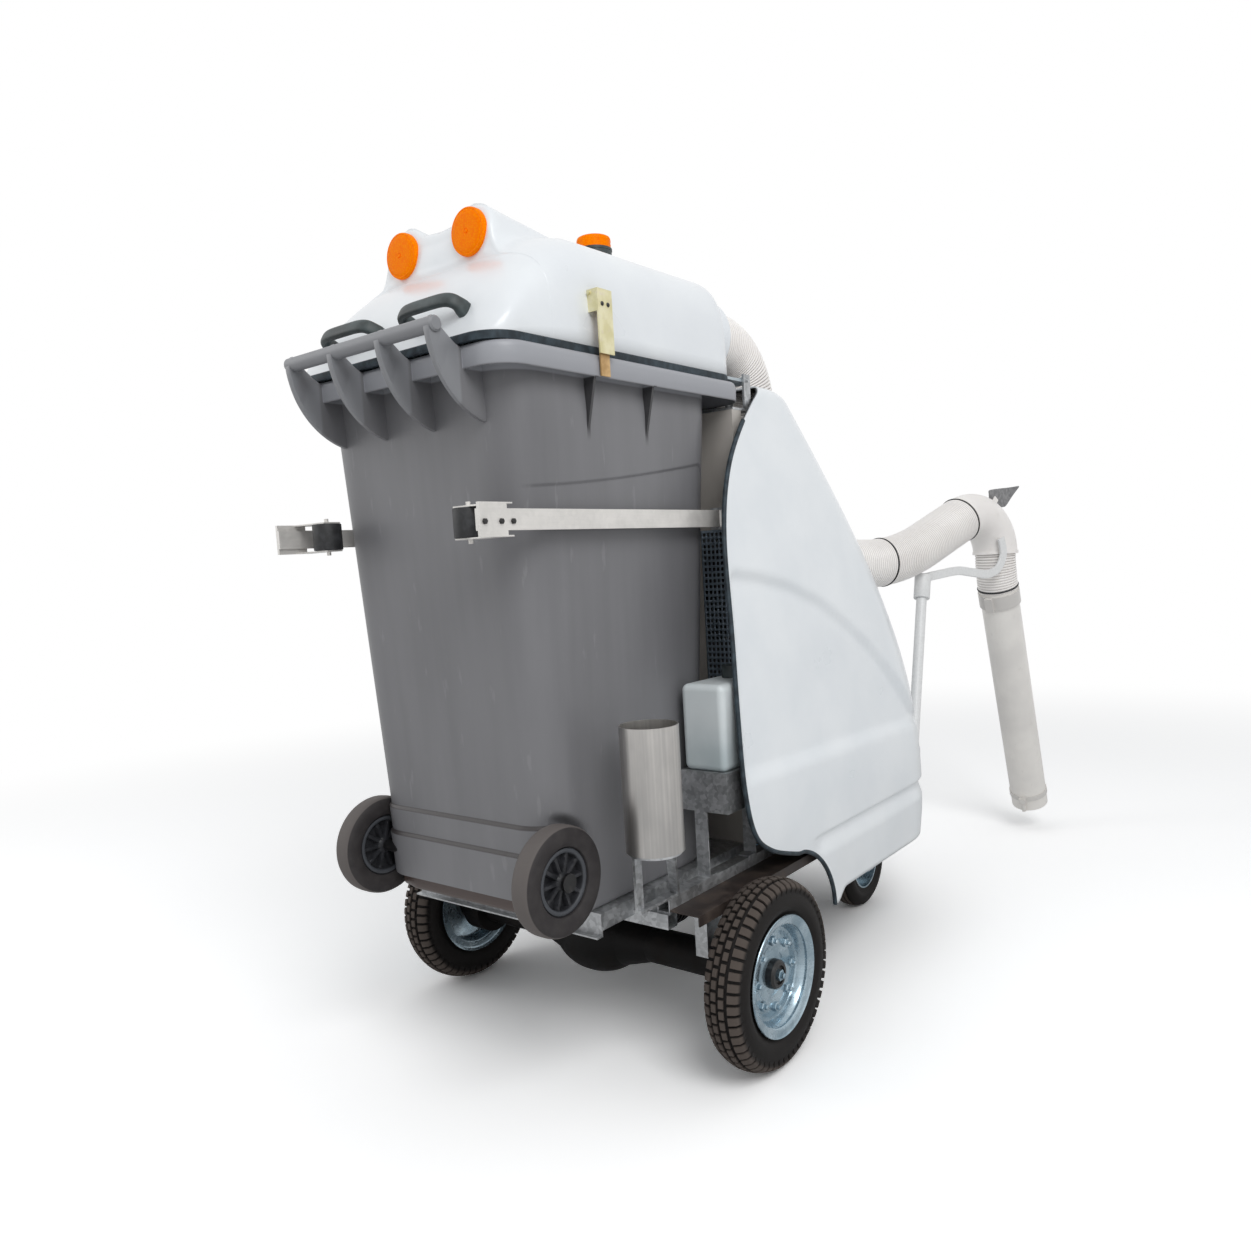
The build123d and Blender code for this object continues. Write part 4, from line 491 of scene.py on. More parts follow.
def punched_sheet(x_range, z_range, y, columns, rows, hole, border):
    """A flat sheet cut by lines at each hole's edges, with the quads inside the holes left out."""
    def lines(low, high, count):
        pitch = (high - low - 2 * border) / count
        starts = low + border + pitch * np.arange(count) + (pitch - hole) / 2
        return np.concatenate([[low], np.stack([starts, starts + hole], -1).ravel(), [high]])

    across = lines(*x_range, columns)
    up = lines(*z_range, rows)
    z, x = np.meshgrid(up, across, indexing="ij")
    points, quads = net(np.stack([x, np.full_like(x, y), z], -1))
    row, column = np.divmod(np.arange(len(quads)), len(across) - 1)
    return points, quads[~((row % 2 == 1) & (column % 2 == 1))]


screen_x = (182.4, 265.6)
screen_z = (560.4, 1079.6)
screen_y = bin_y + 605.4
screen_holes = dict(columns=7, rows=40, hole=7.4, border=3.0)
screens = joined(*[
    punched_sheet(sorted((sign * screen_x[0], sign * screen_x[1])), screen_z, screen_y, **screen_holes)
    for side, sign in sides
])
piece("punched_screens", screens, screen_paint, "chassis", ["vent_screen"], wall=2.0)

guard_plastic = two_tone(
    "guard_plastic", rgb(42, 34, 31), rgb(76, 65, 58), cloud=(22.0, 5.0), spread=(0.4, 0.75),
    rough=(0.55, 0.25), grain=(420.0, 0.2, 0.0006), patchy=True,
)
dress(guard_plastic, "splash_guards")

# Drive and blower under the cover
# Battery pack in a ribbed black case, a finned aluminium control unit, and the blower: a motor on the
# bulkhead, a spun aluminium case, a bladed wheel, and a moulded duct from the hose.

battery_case = two_tone(
    "battery_case", rgb(30, 31, 34), rgb(66, 66, 68), cloud=(40.0, 4.0), spread=(0.5, 0.8),
    rough=(0.4, 0.25), grain=(600.0, 0.2, 0.0004), patchy=True,
)
dress(battery_case, "battery_pack", "blower_motor")

cast_aluminium, wire = finish("cast_aluminium")
skin = wire.noise(180.0, 4.0)
wire.coat(
    Base_Color=skin.ease(0.3, 0.7).mix(rgb(150, 152, 154), rgb(196, 198, 200)),
    Metallic=0.9,
    Roughness=0.35 + 0.2 * skin,
    Normal=skin.bump(0.2, 0.0006),
)
dress(cast_aluminium, "control_unit", "blower_housing", "blower_impeller")

# Cover
# A white moulded shell over the machine's front, laid up in polyester with a glossy gelcoat. A shallow
# panel is pressed into each side between an arch and a ledge, with a groove below. A dark sheet inside
# it is painted shade, and rubber trim is pushed on along its rear edge.

cover_low = 212.0
cover_high = 1400.0


def through(points, steps):
    """A smooth curve through points, Catmull-Rom: each stretch leaves along its neighbours' chord."""
    points = np.asarray(points, float)
    padded = np.concatenate([2 * points[:1] - points[1:2], points, 2 * points[-1:] - points[-2:-1]])
    share = np.linspace(0.0, 1.0, steps, endpoint=False)[None, :, None]
    a, b, c, d = (padded[k:len(padded) - 3 + k, None] for k in range(4))
    curve = 0.5 * (2 * b + (c - a) * share + (2 * a - 5 * b + 4 * c - d) * share ** 2
                   + (3 * b - a - 3 * c + d) * share ** 3)
    return np.concatenate([curve.reshape(-1, points.shape[1]), points[-1:]])


cover_arch = arc((745.0, cover_low), (690.0, 330.0), (578.0, 378.0), 8)
cover_edge = np.concatenate([
    cover_arch,
    [(480.0, 412.0), (422.0, 462.0), (402.0, 560.0), (409.0, 694.0), (430.0, 853.0), (462.0, 1055.0),
     (520.0, 1192.0), (611.0, 1299.0), (735.0, 1402.0)],
])
rear_edge = through(cover_edge, 20)


def cover_sizes(z):
    """Half width, front, corner radius and rear edge of the cover at a height, all swelling downwards."""
    depth = np.clip((cover_high - z) / (cover_high - cover_low), 0.0, 1.0)
    swell = np.sin(np.pi / 2 * depth)
    half = 285.0 + 127.0 * swell
    front = 915.0 + 582.0 * np.sin(np.radians(107.0) * depth)
    corner = 150.0 + 130.0 * swell
    return half, front, corner, np.interp(z, rear_edge[:, 1], rear_edge[:, 0])


def cover_press(y, z):
    """How far the skin is pressed in: a panel between arch and ledge, and a groove below the ledge."""
    arch = np.interp(y, [473, 569, 690, 817, 927, 1044, 1139, 1219, 1300],
                     [984, 973, 949, 907, 851, 779, 705, 635, 560])
    ledge = 576.0 - 0.028 * (y - 425.0)
    panel = ease(arch - z, -17.0, 17.0) * ease(z - ledge, -18.0, 18.0)
    groove = ease(386.0 - z, -6.0, 6.0) * ease(z, 334.0, 374.0) * ease(y, 640.0, 720.0)
    return 13.0 * panel + 10.0 * groove


def cover_skin(inset=0.0):
    """Rows at each height, columns round the outline: rear edge, side, corner, front, and back.

    The pressing fades out at the rear edge. The whole skin is drawn in by the inset, and its roof lowered.
    """
    roof_round = 30.0
    roof_start = cover_high - roof_round
    nose_start = 1300.0
    nose_round = 375.0
    side_lift = 28.0
    z = np.concatenate([
        np.linspace(cover_low, 330.0, 14, endpoint=False),
        np.linspace(330.0, 400.0, 22, endpoint=False),
        np.linspace(400.0, 540.0, 14, endpoint=False),
        np.linspace(540.0, roof_start, 112, endpoint=False),
        roof_start + roof_round * np.sin(np.linspace(0.0, np.pi / 2, 8)),
    ])[:, None]
    half, front, corner, rear = cover_sizes(z)
    into_roof = np.clip(z - roof_start, 0.0, roof_round)
    tuck = roof_round - np.sqrt(np.clip(roof_round ** 2 - into_roof ** 2, 0.0, None))
    half = half - tuck
    front = front - tuck
    along = np.linspace(0.0, 1.0, 52, endpoint=False) ** 1.3
    bend = np.linspace(0.0, np.pi / 2, 18, endpoint=False)
    cross = np.linspace(-1.0, 1.0, 16)
    y_side = rear + (front - corner - rear) * along
    x_bend = half - corner + corner * np.cos(bend)
    y_bend = front - corner + corner * np.sin(bend)
    x = np.concatenate([half + 0 * y_side, x_bend, -(half - corner) * cross,
                        -x_bend[:, ::-1], -half + 0 * y_side], 1)
    y = np.concatenate([y_side, y_bend, front + 0 * z * cross, y_bend[:, ::-1], y_side[:, ::-1]], 1)
    normal = np.concatenate([
        0 * along, bend, np.pi / 2 + 0 * cross, (np.pi - bend)[::-1], np.pi + 0 * along,
    ])
    press = cover_press(y, z) * ease(y - rear, 4.0, 30.0) + inset
    x = x - press * np.cos(normal)
    y = y - press * np.sin(normal)
    into_nose = np.clip(y - nose_start, 0.0, nose_round - 5.0)
    nose = nose_round - np.sqrt(np.clip(nose_round ** 2 - into_nose ** 2, 0.0, None))
    low = z - cover_low
    lift = side_lift * ease(y, 750.0, 800.0)
    z = z + nose * (1.0 - ease(low, 0.0, 260.0)) + lift * (1.0 - ease(low, 0.0, 120.0))
    skin = np.stack([x, y + bin_y, np.minimum(z, cover_high - inset)], -1)
    roof = np.linspace(1.0, 0.0, 8)[1:, None, None]
    apex = np.array([0.0, rear[-1, 0] + bin_y, cover_high - inset])
    return net(np.concatenate([skin, apex + (skin[-1] - apex) * roof]))


def gelcoat(name, tint, grime_low, grime_high):
    """White gelcoat: clear glossy colour with a faint orange peel, and film of dust towards its foot."""
    material, wire = finish(name)
    cloud = wire.noise(5.0, 4.0)
    film = (1.0 - wire.axis(2).ease(grime_low, grime_high)) * wire.noise(9.0, 3.0)
    peel = wire.noise(85.0, 2.0)
    white = cloud.ease(0.3, 0.7).mix(tint, rgb(234, 238, 241))
    wire.coat(
        Base_Color=(film * 0.25).mix(white, rgb(192, 189, 183)),
        Roughness=0.24 + 0.1 * cloud + 0.25 * film,
        Normal=peel.bump(0.04, 0.001),
        Coat_Weight=0.3 - 0.25 * film,
        Coat_Roughness=0.16,
    )
    return material


cover_white = gelcoat("cover_white", rgb(226, 231, 235), 0.2, 0.5)
piece("moulded_cover", cover_skin(), cover_white, "chassis", ["cover_shell"],
      crease=60.0, wall=5.0)

# A dark sheet lines the cover's inside: painted shade in its hollow.
shade_lining, wire = finish("shade_lining")
lining_cloud = wire.noise(24.0, 5.0, (1.0, 1.0, 0.3))
strand = wire.noise(160.0, 3.0)
wire.coat(
    Base_Color=lining_cloud.ease(0.3, 0.7).mix(rgb(46, 49, 52), rgb(66, 69, 72)),
    Roughness=0.6 + 0.2 * lining_cloud,
    Normal=(lining_cloud * 0.5 + strand * 0.5).bump(0.3, 0.001),
)
lining_inset = 5.6
piece("cover_lining", cover_skin(lining_inset), shade_lining, "chassis", crease=60.0, wall=1.0)

black_rubber = two_tone(
    "black_rubber", rgb(34, 42, 48), rgb(64, 76, 84), cloud=(55.0, 4.0), spread=(0.3, 0.8),
    rough=(0.5, 0.2), grain=(700.0, 0.15, 0.0004), Specular_IOR_Level=0.3,
)


def tube(path, radius, steady, around=24):
    """A closed tube along a path: circles across it, drawn in a plane that keeps one steady direction."""
    path = np.asarray(path, float)
    radius = np.broadcast_to(np.asarray(radius, float), len(path))
    ahead = np.gradient(path, axis=0)
    ahead /= np.linalg.norm(ahead, axis=1)[:, None]
    side = steady - (ahead @ np.asarray(steady, float))[:, None] * ahead
    side /= np.linalg.norm(side, axis=1)[:, None]
    up = np.cross(ahead, side)
    turn = np.linspace(0.0, 2 * np.pi, around, endpoint=False)[None, :, None]
    rings = radius[:, None, None] * (np.cos(turn) * side[:, None] + np.sin(turn) * up[:, None])
    points = path[:, None] + rings
    ends = [np.repeat(path[k][None, None], around, 1) for k in (0, -1)]
    return net(np.concatenate([ends[0], points, ends[1]]), ring=True)


def trim_line(sign):
    """The rear edge of the cover on one side, a little inside its skin, from the arch to the top."""
    half = cover_sizes(rear_edge[:, 1])[0]
    return np.stack([sign * (half - 2.5), rear_edge[:, 0] + bin_y - 2.0, rear_edge[:, 1]], -1)


trim_radius = 5.0
bare_points = 18
trim = joined(*[
    tube(trim_line(sign)[:-bare_points], trim_radius, (1.0, 0.0, 0.0), 10) for side, sign in sides
])
piece("edge_trim", trim, black_rubber, "chassis", ["cover_trim"])

# Bin
# A 240-litre wheeled bin, moulded in one piece from grey polyethylene: tapered walls, a turned-down
# rim with gussets under it, and a handle bar held off the back by four horn-shaped fins.

bin_low = 373.0
bin_high = 1392.0
bin_wall = 5.0
bin_steps = (502.0, 555.0)
bin_toe = 410.0
bin_axle_place = (bin_y, 466.0)
rim_low = 1352.0


def round_box(corner_steps, side_steps):
    """A rounded rectangle walked once round: where its corner centres stand, and the normal's angle."""
    bend = np.linspace(0.0, np.pi / 2, corner_steps, endpoint=False)
    run = np.linspace(-1.0, 1.0, side_steps, endpoint=False)
    one = np.ones(side_steps)
    still = np.ones(corner_steps)
    sx = np.concatenate([one, still, -run, -still, -one, -still, run, still])
    sy = np.concatenate([run, still, one, still, -run, -still, -one, -still])
    quarter = np.pi / 2
    angle = np.concatenate([0 * run, bend, quarter + 0 * run, quarter + bend, 2 * quarter + 0 * run,
                            2 * quarter + bend, 3 * quarter + 0 * run, 3 * quarter + bend])
    return sx, sy, angle


def boxed(levels, walk):
    """Rounded rectangles stacked up: each level has a height, half width, rear, front and corner radius."""
    z, half, rear, front, corner = (np.asarray(levels, float)[:, k, None] for k in range(5))
    sx, sy, angle = walk
    x = sx * (half - corner) + corner * np.cos(angle)
    y = (rear + front) / 2 + sy * ((front - rear) / 2 - corner) + corner * np.sin(angle)
    return np.stack(np.broadcast_arrays(x, y + bin_y, z), -1)


def bin_levels(heights, inset):
    """Levels of the bin's tapered wall, drawn in by an inset."""
    heights = np.asarray(heights, float)
    share = (heights - bin_low) / (bin_high - bin_low)
    half = 240.0 + 22.0 * share - inset
    rear = 2.0 - 53.0 * share + inset
    front = 498.0 + 77.0 * share - inset
    return np.stack([heights, half, rear, front, np.full_like(heights, 75.0 - inset)], -1)


def bin_form():
    """The bin from the middle of its base, up its wall, over the rim and down inside.

    Its back steps out twice towards the foot and in again at the toe, its upper sides stand proud above a
    line that rises to the front, and a round dish beside each wheel makes room for it.
    """
    walk = round_box(14, 44)
    line_height = 1160.0
    toe_depth = 26.0
    wheel_room = 222.0
    near_step = np.array([-9.0, -5.0, -3.0, -1.0, 1.0, 3.0, 5.0, 9.0])
    wall_heights = np.concatenate([
        np.linspace(384.0, 398.0, 3), bin_toe + near_step, np.linspace(424.0, 490.0, 13),
        bin_steps[0] + near_step, np.linspace(516.0, 542.0, 6), bin_steps[1] + near_step,
        np.linspace(568.0, 592.0, 6), np.linspace(604.0, 1140.0, 24),
        line_height + near_step, np.linspace(1178.0, 1384.0, 24),
    ])
    outer = bin_levels(wall_heights, 0.0)
    base = bin_levels(bin_low + np.array([0.0, 0.0, 2.0, 6.0]), 0.0)
    base[0, 1:] = (0.0, 250.0, 250.0, 0.0)
    base[1:, 1:] += np.array([[-9.0, 9.0, -9.0, -9.0], [-5.0, 5.0, -5.0, -5.0], [-1.5, 1.5, -1.5, -1.5]])
    rim_height, rim_inset = np.array([
        (1384.0, 6.0), (1380.0, 5.0), (rim_low + 3.0, 4.5), (rim_low, 3.5), (rim_low, 1.5),
        (rim_low + 2.0, 0.0), (1380.0, 0.0), (1385.0, 0.8), (1389.0, 3.0), (1391.4, 6.5), (bin_high, 11.0),
    ]).T
    rim = np.stack([
        rim_height, 290.0 - rim_inset, -90.0 + rim_inset, 652.0 - rim_inset, 60.0 - rim_inset,
    ], -1)
    inner_heights = np.concatenate([
        [bin_high, 1388.0, 1000.0], np.linspace(600.0, 380.0, 20), [bin_low + bin_wall] * 2,
    ])
    inner = bin_levels(inner_heights, bin_wall)
    inner[-1, 1:] = (0.0, 250.0, 250.0, 0.0)
    points = boxed(np.concatenate([base, outer, rim, inner]), walk)
    wall = np.zeros(len(points))
    wall[len(base) - 2:len(base) + len(outer)] = 1.0
    x, y, z = points[..., 0], points[..., 1] - bin_y, points[..., 2]
    angle = walk[2]
    skirt = sum(5.0 * (1.0 - ease(z - height, -3.0, 3.0)) for height in bin_steps)
    on_side = ease(np.abs(np.cos(angle)), 0.75, 0.98)
    proud = 3.5 * ease(z - line_height, -3.0, 3.0) * on_side * ease(1345.0 - z, 0.0, 60.0)
    at_back = ease(-np.sin(angle), 0.3, 0.9)
    out = (skirt * at_back + proud) * wall[:, None]
    climb = 54.0 * np.clip((y + 10.0) / 501.0, 0.0, 1.1) ** 1.4 * on_side * wall[:, None]
    z = z + climb * ease(z, 900.0, line_height) * ease(1384.0 - z, 0.0, 1384.0 - line_height)
    x = x + out * np.cos(angle)
    y = y + out * np.sin(angle)
    toe = toe_depth * ease(-np.sin(angle), 0.5, 0.95) * (1.0 - ease(z - bin_toe, -2.0, 2.0))
    toe[[0, -1]] = 0.0
    y = y + toe
    room = 1.0 - ease(np.hypot(y, z - bin_axle_place[1]), 101.0, 119.0)
    inside = np.arange(len(points)) > len(base) + len(outer) + len(rim)
    limit = np.where(inside, wheel_room - bin_wall, wheel_room)[:, None]
    x = np.where(np.abs(x) > limit, np.sign(x) * (limit + (np.abs(x) - limit) * (1.0 - room)), x)
    return net(np.stack([x, y + bin_y, z], -1), ring=True)


def plate(lower, upper, half, centre_x):
    """A flat rib between two curves in the side view, with rounded edges and closed ends."""
    lower, upper = np.asarray(lower, float), np.asarray(upper, float)
    across = np.array([-1.0, -1.0, -0.6, 0.6, 1.0, 1.0, 0.6, -0.6])
    share = np.array([0.06, 0.94, 1.0, 1.0, 0.94, 0.06, 0.0, 0.0])[None, :, None]
    side = lower[:, None] + (upper - lower)[:, None] * share
    x = np.broadcast_to(centre_x + half * across, side.shape[:2])
    points = np.stack([x, side[..., 0] + bin_y, side[..., 1]], -1)
    middle = points.mean(1, keepdims=True).repeat(points.shape[1], 1)
    return net(np.concatenate([middle[:1], points, middle[-1:]]), ring=True)


def bin_fin(x):
    """A horn: its outer edge bellies from the wall to the bar, its upper edge runs back to the rim."""
    outer_edge = arc((-44.0, 1270.0), (-117.0, 1314.5), (-157.0, 1412.0), 25)
    upper_edge = through([(-40.0, 1384.0), (-90.0, 1388.0), (-118.0, 1406.0), (-146.0, 1431.0)], 8)
    return plate(outer_edge, upper_edge, 6.5, x)


gusset_stations = (147.0, 320.0)
gusset_foot = 1240.0
bin_plastic, wire = finish("bin_plastic")
blotch = wire.noise(3.2, 5.0, (1.0, 1.0, 0.45))
streak = wire.noise(26.0, 3.0, (1.0, 1.0, 0.06))
grain = wire.noise(1300.0, 2.0)
scar = wire.noise(46.0, 6.0, (1.0, 1.0, 0.2)).ease(0.64, 0.71)
bin_tone = (blotch * 0.75 + streak * 0.25).ease(0.25, 0.75).mix(rgb(105, 105, 108), rgb(123, 123, 126))
bin_worn = (scar * 0.3).mix(bin_tone, rgb(146, 146, 148))
along, height = wire.axis(1), wire.axis(2)
# The rim is painted lighter: painted light on its upturned skirt.
on_rim = height.ease(rim_low * MM - 0.001, rim_low * MM + 0.003) * (1.0 - height.ease(1.3925, 1.394))
on_rim = on_rim * along.ease((bin_y - 92.0) * MM, (bin_y - 90.0) * MM)
bin_lit_rim_pale_fins = (on_rim * 0.8).mix(bin_worn, rgb(166, 168, 174))
# Dark strips beside each gusset under the rim are painted shade.
gusset_shade = sum(along.near((bin_y + station) * MM, 0.0034, 0.0026) for station in gusset_stations)
gusset_shade = gusset_shade * height.ease(gusset_foot * MM, gusset_foot * MM + 0.03) * (1.0 - on_rim)
# The fins are painted paler.
on_fin = (1.0 - along.ease((bin_y - 100.0) * MM, (bin_y - 94.0) * MM)) * height.ease(1.27, 1.29)
bin_lit_rim_pale_fins = (on_fin * 0.6).mix(bin_lit_rim_pale_fins, rgb(140, 142, 146))
# Dark lines along the two steps of the back are painted shade in their creases.
by_step = sum(height.near(step * MM, 0.0024, 0.003) for step in bin_steps)
by_step = by_step * (1.0 - along.ease(bin_y * MM + 0.005, bin_y * MM + 0.04))
bin_step_and_toe_shade = (by_step * 0.95).mix(bin_lit_rim_pale_fins, rgb(50, 46, 46))
# The recessed toe at the back is painted dark brown as painted shade beneath the bin.
on_toe = 1.0 - height.ease((bin_toe - 3.0) * MM, (bin_toe - 1.0) * MM)
on_toe = on_toe * (1.0 - along.ease(bin_y * MM + 0.05, bin_y * MM + 0.07))
bin_step_and_toe_shade = (on_toe * 0.9).mix(bin_step_and_toe_shade, rgb(76, 60, 54))
wire.coat(
    Base_Color=(gusset_shade * 0.85).mix(bin_step_and_toe_shade, rgb(38, 38, 40)),
    Roughness=0.36 + 0.14 * blotch + 0.1 * scar,
    Normal=(grain * 0.5 + streak * 0.5).bump(0.08, 0.001),
)
bar_profile = [(0.0, -206.0), (10.0, -206.0), (13.0, -203.0), (13.0, 203.0), (10.0, 206.0), (0.0, 206.0)]


def gusset(sign, station):
    """A thin triangle between the side wall and the rim's skirt."""
    top = np.array([[257.0, gusset_foot], [257.0, 1384.0], [285.0, 1384.0], [285.0, rim_low + 2.0]])
    corners = np.concatenate([top, top])
    y = np.repeat([station - 3.0, station + 3.0], 4)
    points = np.stack([sign * corners[:, 0], y + bin_y, corners[:, 1]], -1)
    quads = np.array([[0, 1, 2, 3], [7, 6, 5, 4], [0, 4, 5, 1], [1, 5, 6, 2], [2, 6, 7, 3], [3, 7, 4, 0]])
    return points, quads


bin_shape = joined(
    bin_form(),
    turned(bar_profile, (0.0, bin_y - 144.0, 1417.0), (1.0, 0.0, 0.0), 24),
    *[bin_fin(x) for x in (-194.0, -66.7, 66.7, 194.0)],
    *[gusset(sign, station) for sign in (-1.0, 1.0) for station in gusset_stations],
)
piece("moulded_bin", bin_shape, bin_plastic, "chassis", ["bin_body"], crease=40.0)

# Bin's axle and wheels
# A steel axle, painted black, and two moulded wheels: a black plastic hub of ten spokes
# in a deep dish, with a thick solid rubber tyre.

bin_wheel_x = 250.0
dress(hub_black, "bin_axle")


def spoked_wheel(centre_x, sign):
    """Face depth over radius and angle: cap, spokes between hollows, ring, tyre; then tread and back."""
    radius = np.concatenate([
        [0.0, 9.0, 12.0, 13.0, 15.0, 17.0], np.linspace(20.0, 48.0, 10),
        [50.0, 51.0, 52.0, 54.0, 57.0, 59.5, 60.5, 61.5, 63.0, 66.0, 74.0, 84.0, 92.0],
    ])
    spokes = 10
    hollow_depth = 11.0
    turn = np.linspace(0.0, 2 * np.pi, 240, endpoint=False)
    pitch = 2 * np.pi / spokes
    off = np.abs((turn + pitch / 2) % pitch - pitch / 2)
    gap = radius[:, None] * np.sin(off)[None, :]
    rest = np.interp(radius, [0.0, 9.0, 12.0, 13.0, 15.0, 17.0, 48.0, 50.0, 52.0, 54.0, 57.0, 59.5, 60.5,
                              61.5, 63.0, 66.0, 74.0, 84.0, 92.0],
                     [20.0, 20.0, 19.0, 16.0, 14.0, 12.0, 12.0, 12.0, 15.0, 16.5, 16.5, 15.5, 12.5,
                      12.5, 18.0, 20.0, 22.0, 22.6, 21.4])
    in_dish = ease(radius, 15.5, 19.0) * (1.0 - ease(radius, 49.0, 51.5))
    hollow = ease(gap, 3.2, 5.0) * in_dish[:, None]
    face = rest[:, None] - hollow * hollow_depth
    tread_radius = np.array([97.0, 99.4, 100.0, 100.0, 99.4, 97.0])[:, None]
    tread_depth = np.array([18.0, 13.0, 7.0, -7.0, -13.0, -18.0])[:, None]
    flat = 0 * turn[None, :]
    distance = np.concatenate([radius[:, None] + flat, tread_radius + flat, radius[::-1, None] + flat])
    depth = np.concatenate([face, tread_depth + flat, -face[::-1]])
    x = centre_x + sign * depth
    y = bin_axle_place[0] + distance * np.cos(turn)
    z = bin_axle_place[1] + distance * np.sin(turn)
    return net(np.stack([x, y, z], -1), ring=True)


bin_wheel_black, wire = finish("bin_wheel_black")
wheel_radius = axle_distance(wire, bin_axle_place)
on_tyre = wheel_radius.ease(0.0605, 0.063)
wear = wire.noise(45.0, 5.0)
# A lighter ring on the hub is a painted highlight, and the tread is painted paler than the sidewall as
# painted light.
ring_highlight = wheel_radius.near(0.0555, 0.003, 0.002)
hub_tone = wear.ease(0.3, 0.8).mix(rgb(38, 39, 42), rgb(56, 57, 61))
hub_tone = (ring_highlight * 0.4).mix(hub_tone, rgb(98, 102, 108))
side_tone = wear.ease(0.25, 0.8).mix(rgb(48, 45, 46), rgb(60, 57, 57))
tyre_tone = wheel_radius.ease(0.0955, 0.0975).mix(side_tone, rgb(98, 93, 91))
wire.coat(
    Base_Color=on_tyre.mix(hub_tone, tyre_tone),
    Roughness=0.36 + 0.26 * on_tyre + 0.1 * wear,
    Normal=wire.noise(650.0).bump(0.2, 0.0005),
    Specular_IOR_Level=0.3,
)
for side, sign in sides:
    piece(f"spoked_wheel_{side}", spoked_wheel(sign * bin_wheel_x, sign), bin_wheel_black,
          f"bin_wheel_{side}", [f"bin_wheel_{side}"], crease=40.0)

# Hood
# The bin's lid: a white moulded shell hinged at its front, with a brow of two pods over its rear slope
# that run forward as ridges, and a ring at the front where the top hose comes in.

hood_low = 1398.0
hood_rear = -95.0
hood_front = 635.0
hood_half = 280.0
hood_corner = 60.0
pod_station = 52.0
pod_x = 93.0


def soft_max(first, second, softness):
    """The greater of two heights, with the corner between them filleted."""
    return (first + second + np.sqrt((first - second) ** 2 + softness ** 2)) / 2


def hood_skin():
    """Cross-sections from rear to front: superellipses as wide and high as the plan and side view say.

    Ahead of the brow's wall, each section is raised to two round pods with a saddle between them.
    """
    y = np.concatenate([
        hood_rear + 145.0 * np.linspace(0.0, 1.0, 44, endpoint=False) ** 1.5,
        pod_station + np.array([-2.0, -1.96, -1.9, -1.7, -1.2, 0.0, 2.0, 5.0, 10.0, 16.0]),
        np.linspace(76.0, 500.0, 46, endpoint=False),
        hood_front - 135.0 * (1.0 - np.sin(np.linspace(0.0, np.pi / 2, 34))),
    ])[:, None]
    from_rear = y - hood_rear
    from_front = hood_front - y
    slope = through([(0.0, 0.0), (28.0, 47.0), (58.0, 92.0), (92.0, 131.0), (128.0, 164.0), (170.0, 194.0),
                     (210.0, 214.0), (255.0, 226.0), (310.0, 229.0), (730.0, 229.0)], 12)
    nose = (1.0 - np.clip(1.0 - from_front / 66.0, 0.0, 1.0) ** 3.0) ** (1 / 3.0)
    rise = np.interp(from_rear, slope[:, 0], slope[:, 1]) * nose
    into_corner = np.clip(hood_corner - np.minimum(from_rear, from_front), 0.0, hood_corner)
    half = hood_half - hood_corner + np.sqrt(hood_corner ** 2 - into_corner ** 2)
    turn = np.linspace(0.0, np.pi, 181)[None, :]
    power = 2.0 / 4.4
    x = half * np.sign(np.cos(turn)) * np.abs(np.cos(turn)) ** power
    z = rise * np.sin(turn) ** power
    ahead = np.clip((y - pod_station) / 300.0, 0.0, 1.0)
    radius = 52.0 - 26.0 * ahead
    centre = 228.0 - 24.0 * ahead
    off = np.abs(np.abs(x) - pod_x)
    dome = centre + np.sqrt(np.clip(radius ** 2 - np.minimum(off, radius) ** 2, 0.0, None))
    dome = dome - 4.0 * np.clip(off - radius, 0.0, None)
    saddle = np.where(np.abs(x) < pod_x, centre + 25.0 * (1.0 - ahead), -500.0)
    brow = soft_max(soft_max(dome, saddle, 14.0), z, 34.0)
    grown = np.clip((y - pod_station + 2.0) / 18.0, 0.0, 1.0) ** 0.25 * (1.0 - ease(ahead, 0.8, 1.0))
    z = z + grown * np.clip(brow - z, 0.0, None)
    return net(np.stack([x, y + bin_y + 0 * x, z + hood_low], -1))


hood_white = gelcoat("hood_white", rgb(228, 232, 236), 1.39, 1.44)
piece("moulded_hood", hood_skin(), hood_white, "hood", ["hood_shell"], crease=75.0, wall=5.0)
hose_port = (180.0, bin_y + 640.0, 1500.0)
ring_profile = [(70.5, -40.0), (80.0, -40.0), (86.0, -6.0), (86.0, -2.0), (79.0, 0.0), (78.0, 3.0),
                (74.0, 4.0), (70.5, 3.0), (70.5, -40.0)]
hose_port_ring = turned(ring_profile, hose_port, (0.0, 1.0, 0.0), 64)
piece("hose_port_ring", hose_port_ring, hood_white, "hood")


def edge_channel():
    """A rubber channel pushed over the hood's lower edge: its section carried round the hood's plan."""
    out, height = np.array([
        (-8.5, 1392.4), (1.0, 1392.4), (1.6, 1396.0), (1.5, 1404.5), (0.4, 1406.0), (0.4, 1398.2),
        (-5.4, 1398.2), (-5.4, 1405.0), (-8.5, 1405.0), (-8.5, 1392.4),
    ]).T
    levels = np.stack([height, hood_half + out, hood_rear - out, hood_front + out, hood_corner + out], -1)
    return net(boxed(levels, round_box(12, 22)), ring=True)


piece("edge_channel", edge_channel(), black_rubber, "hood", ["hood_seal"])

# Hood's lamps
# Two round amber reflectors, screwed to the brow, with moulded prisms behind a smooth face, and a small
# amber beacon on a dark base on the roof.

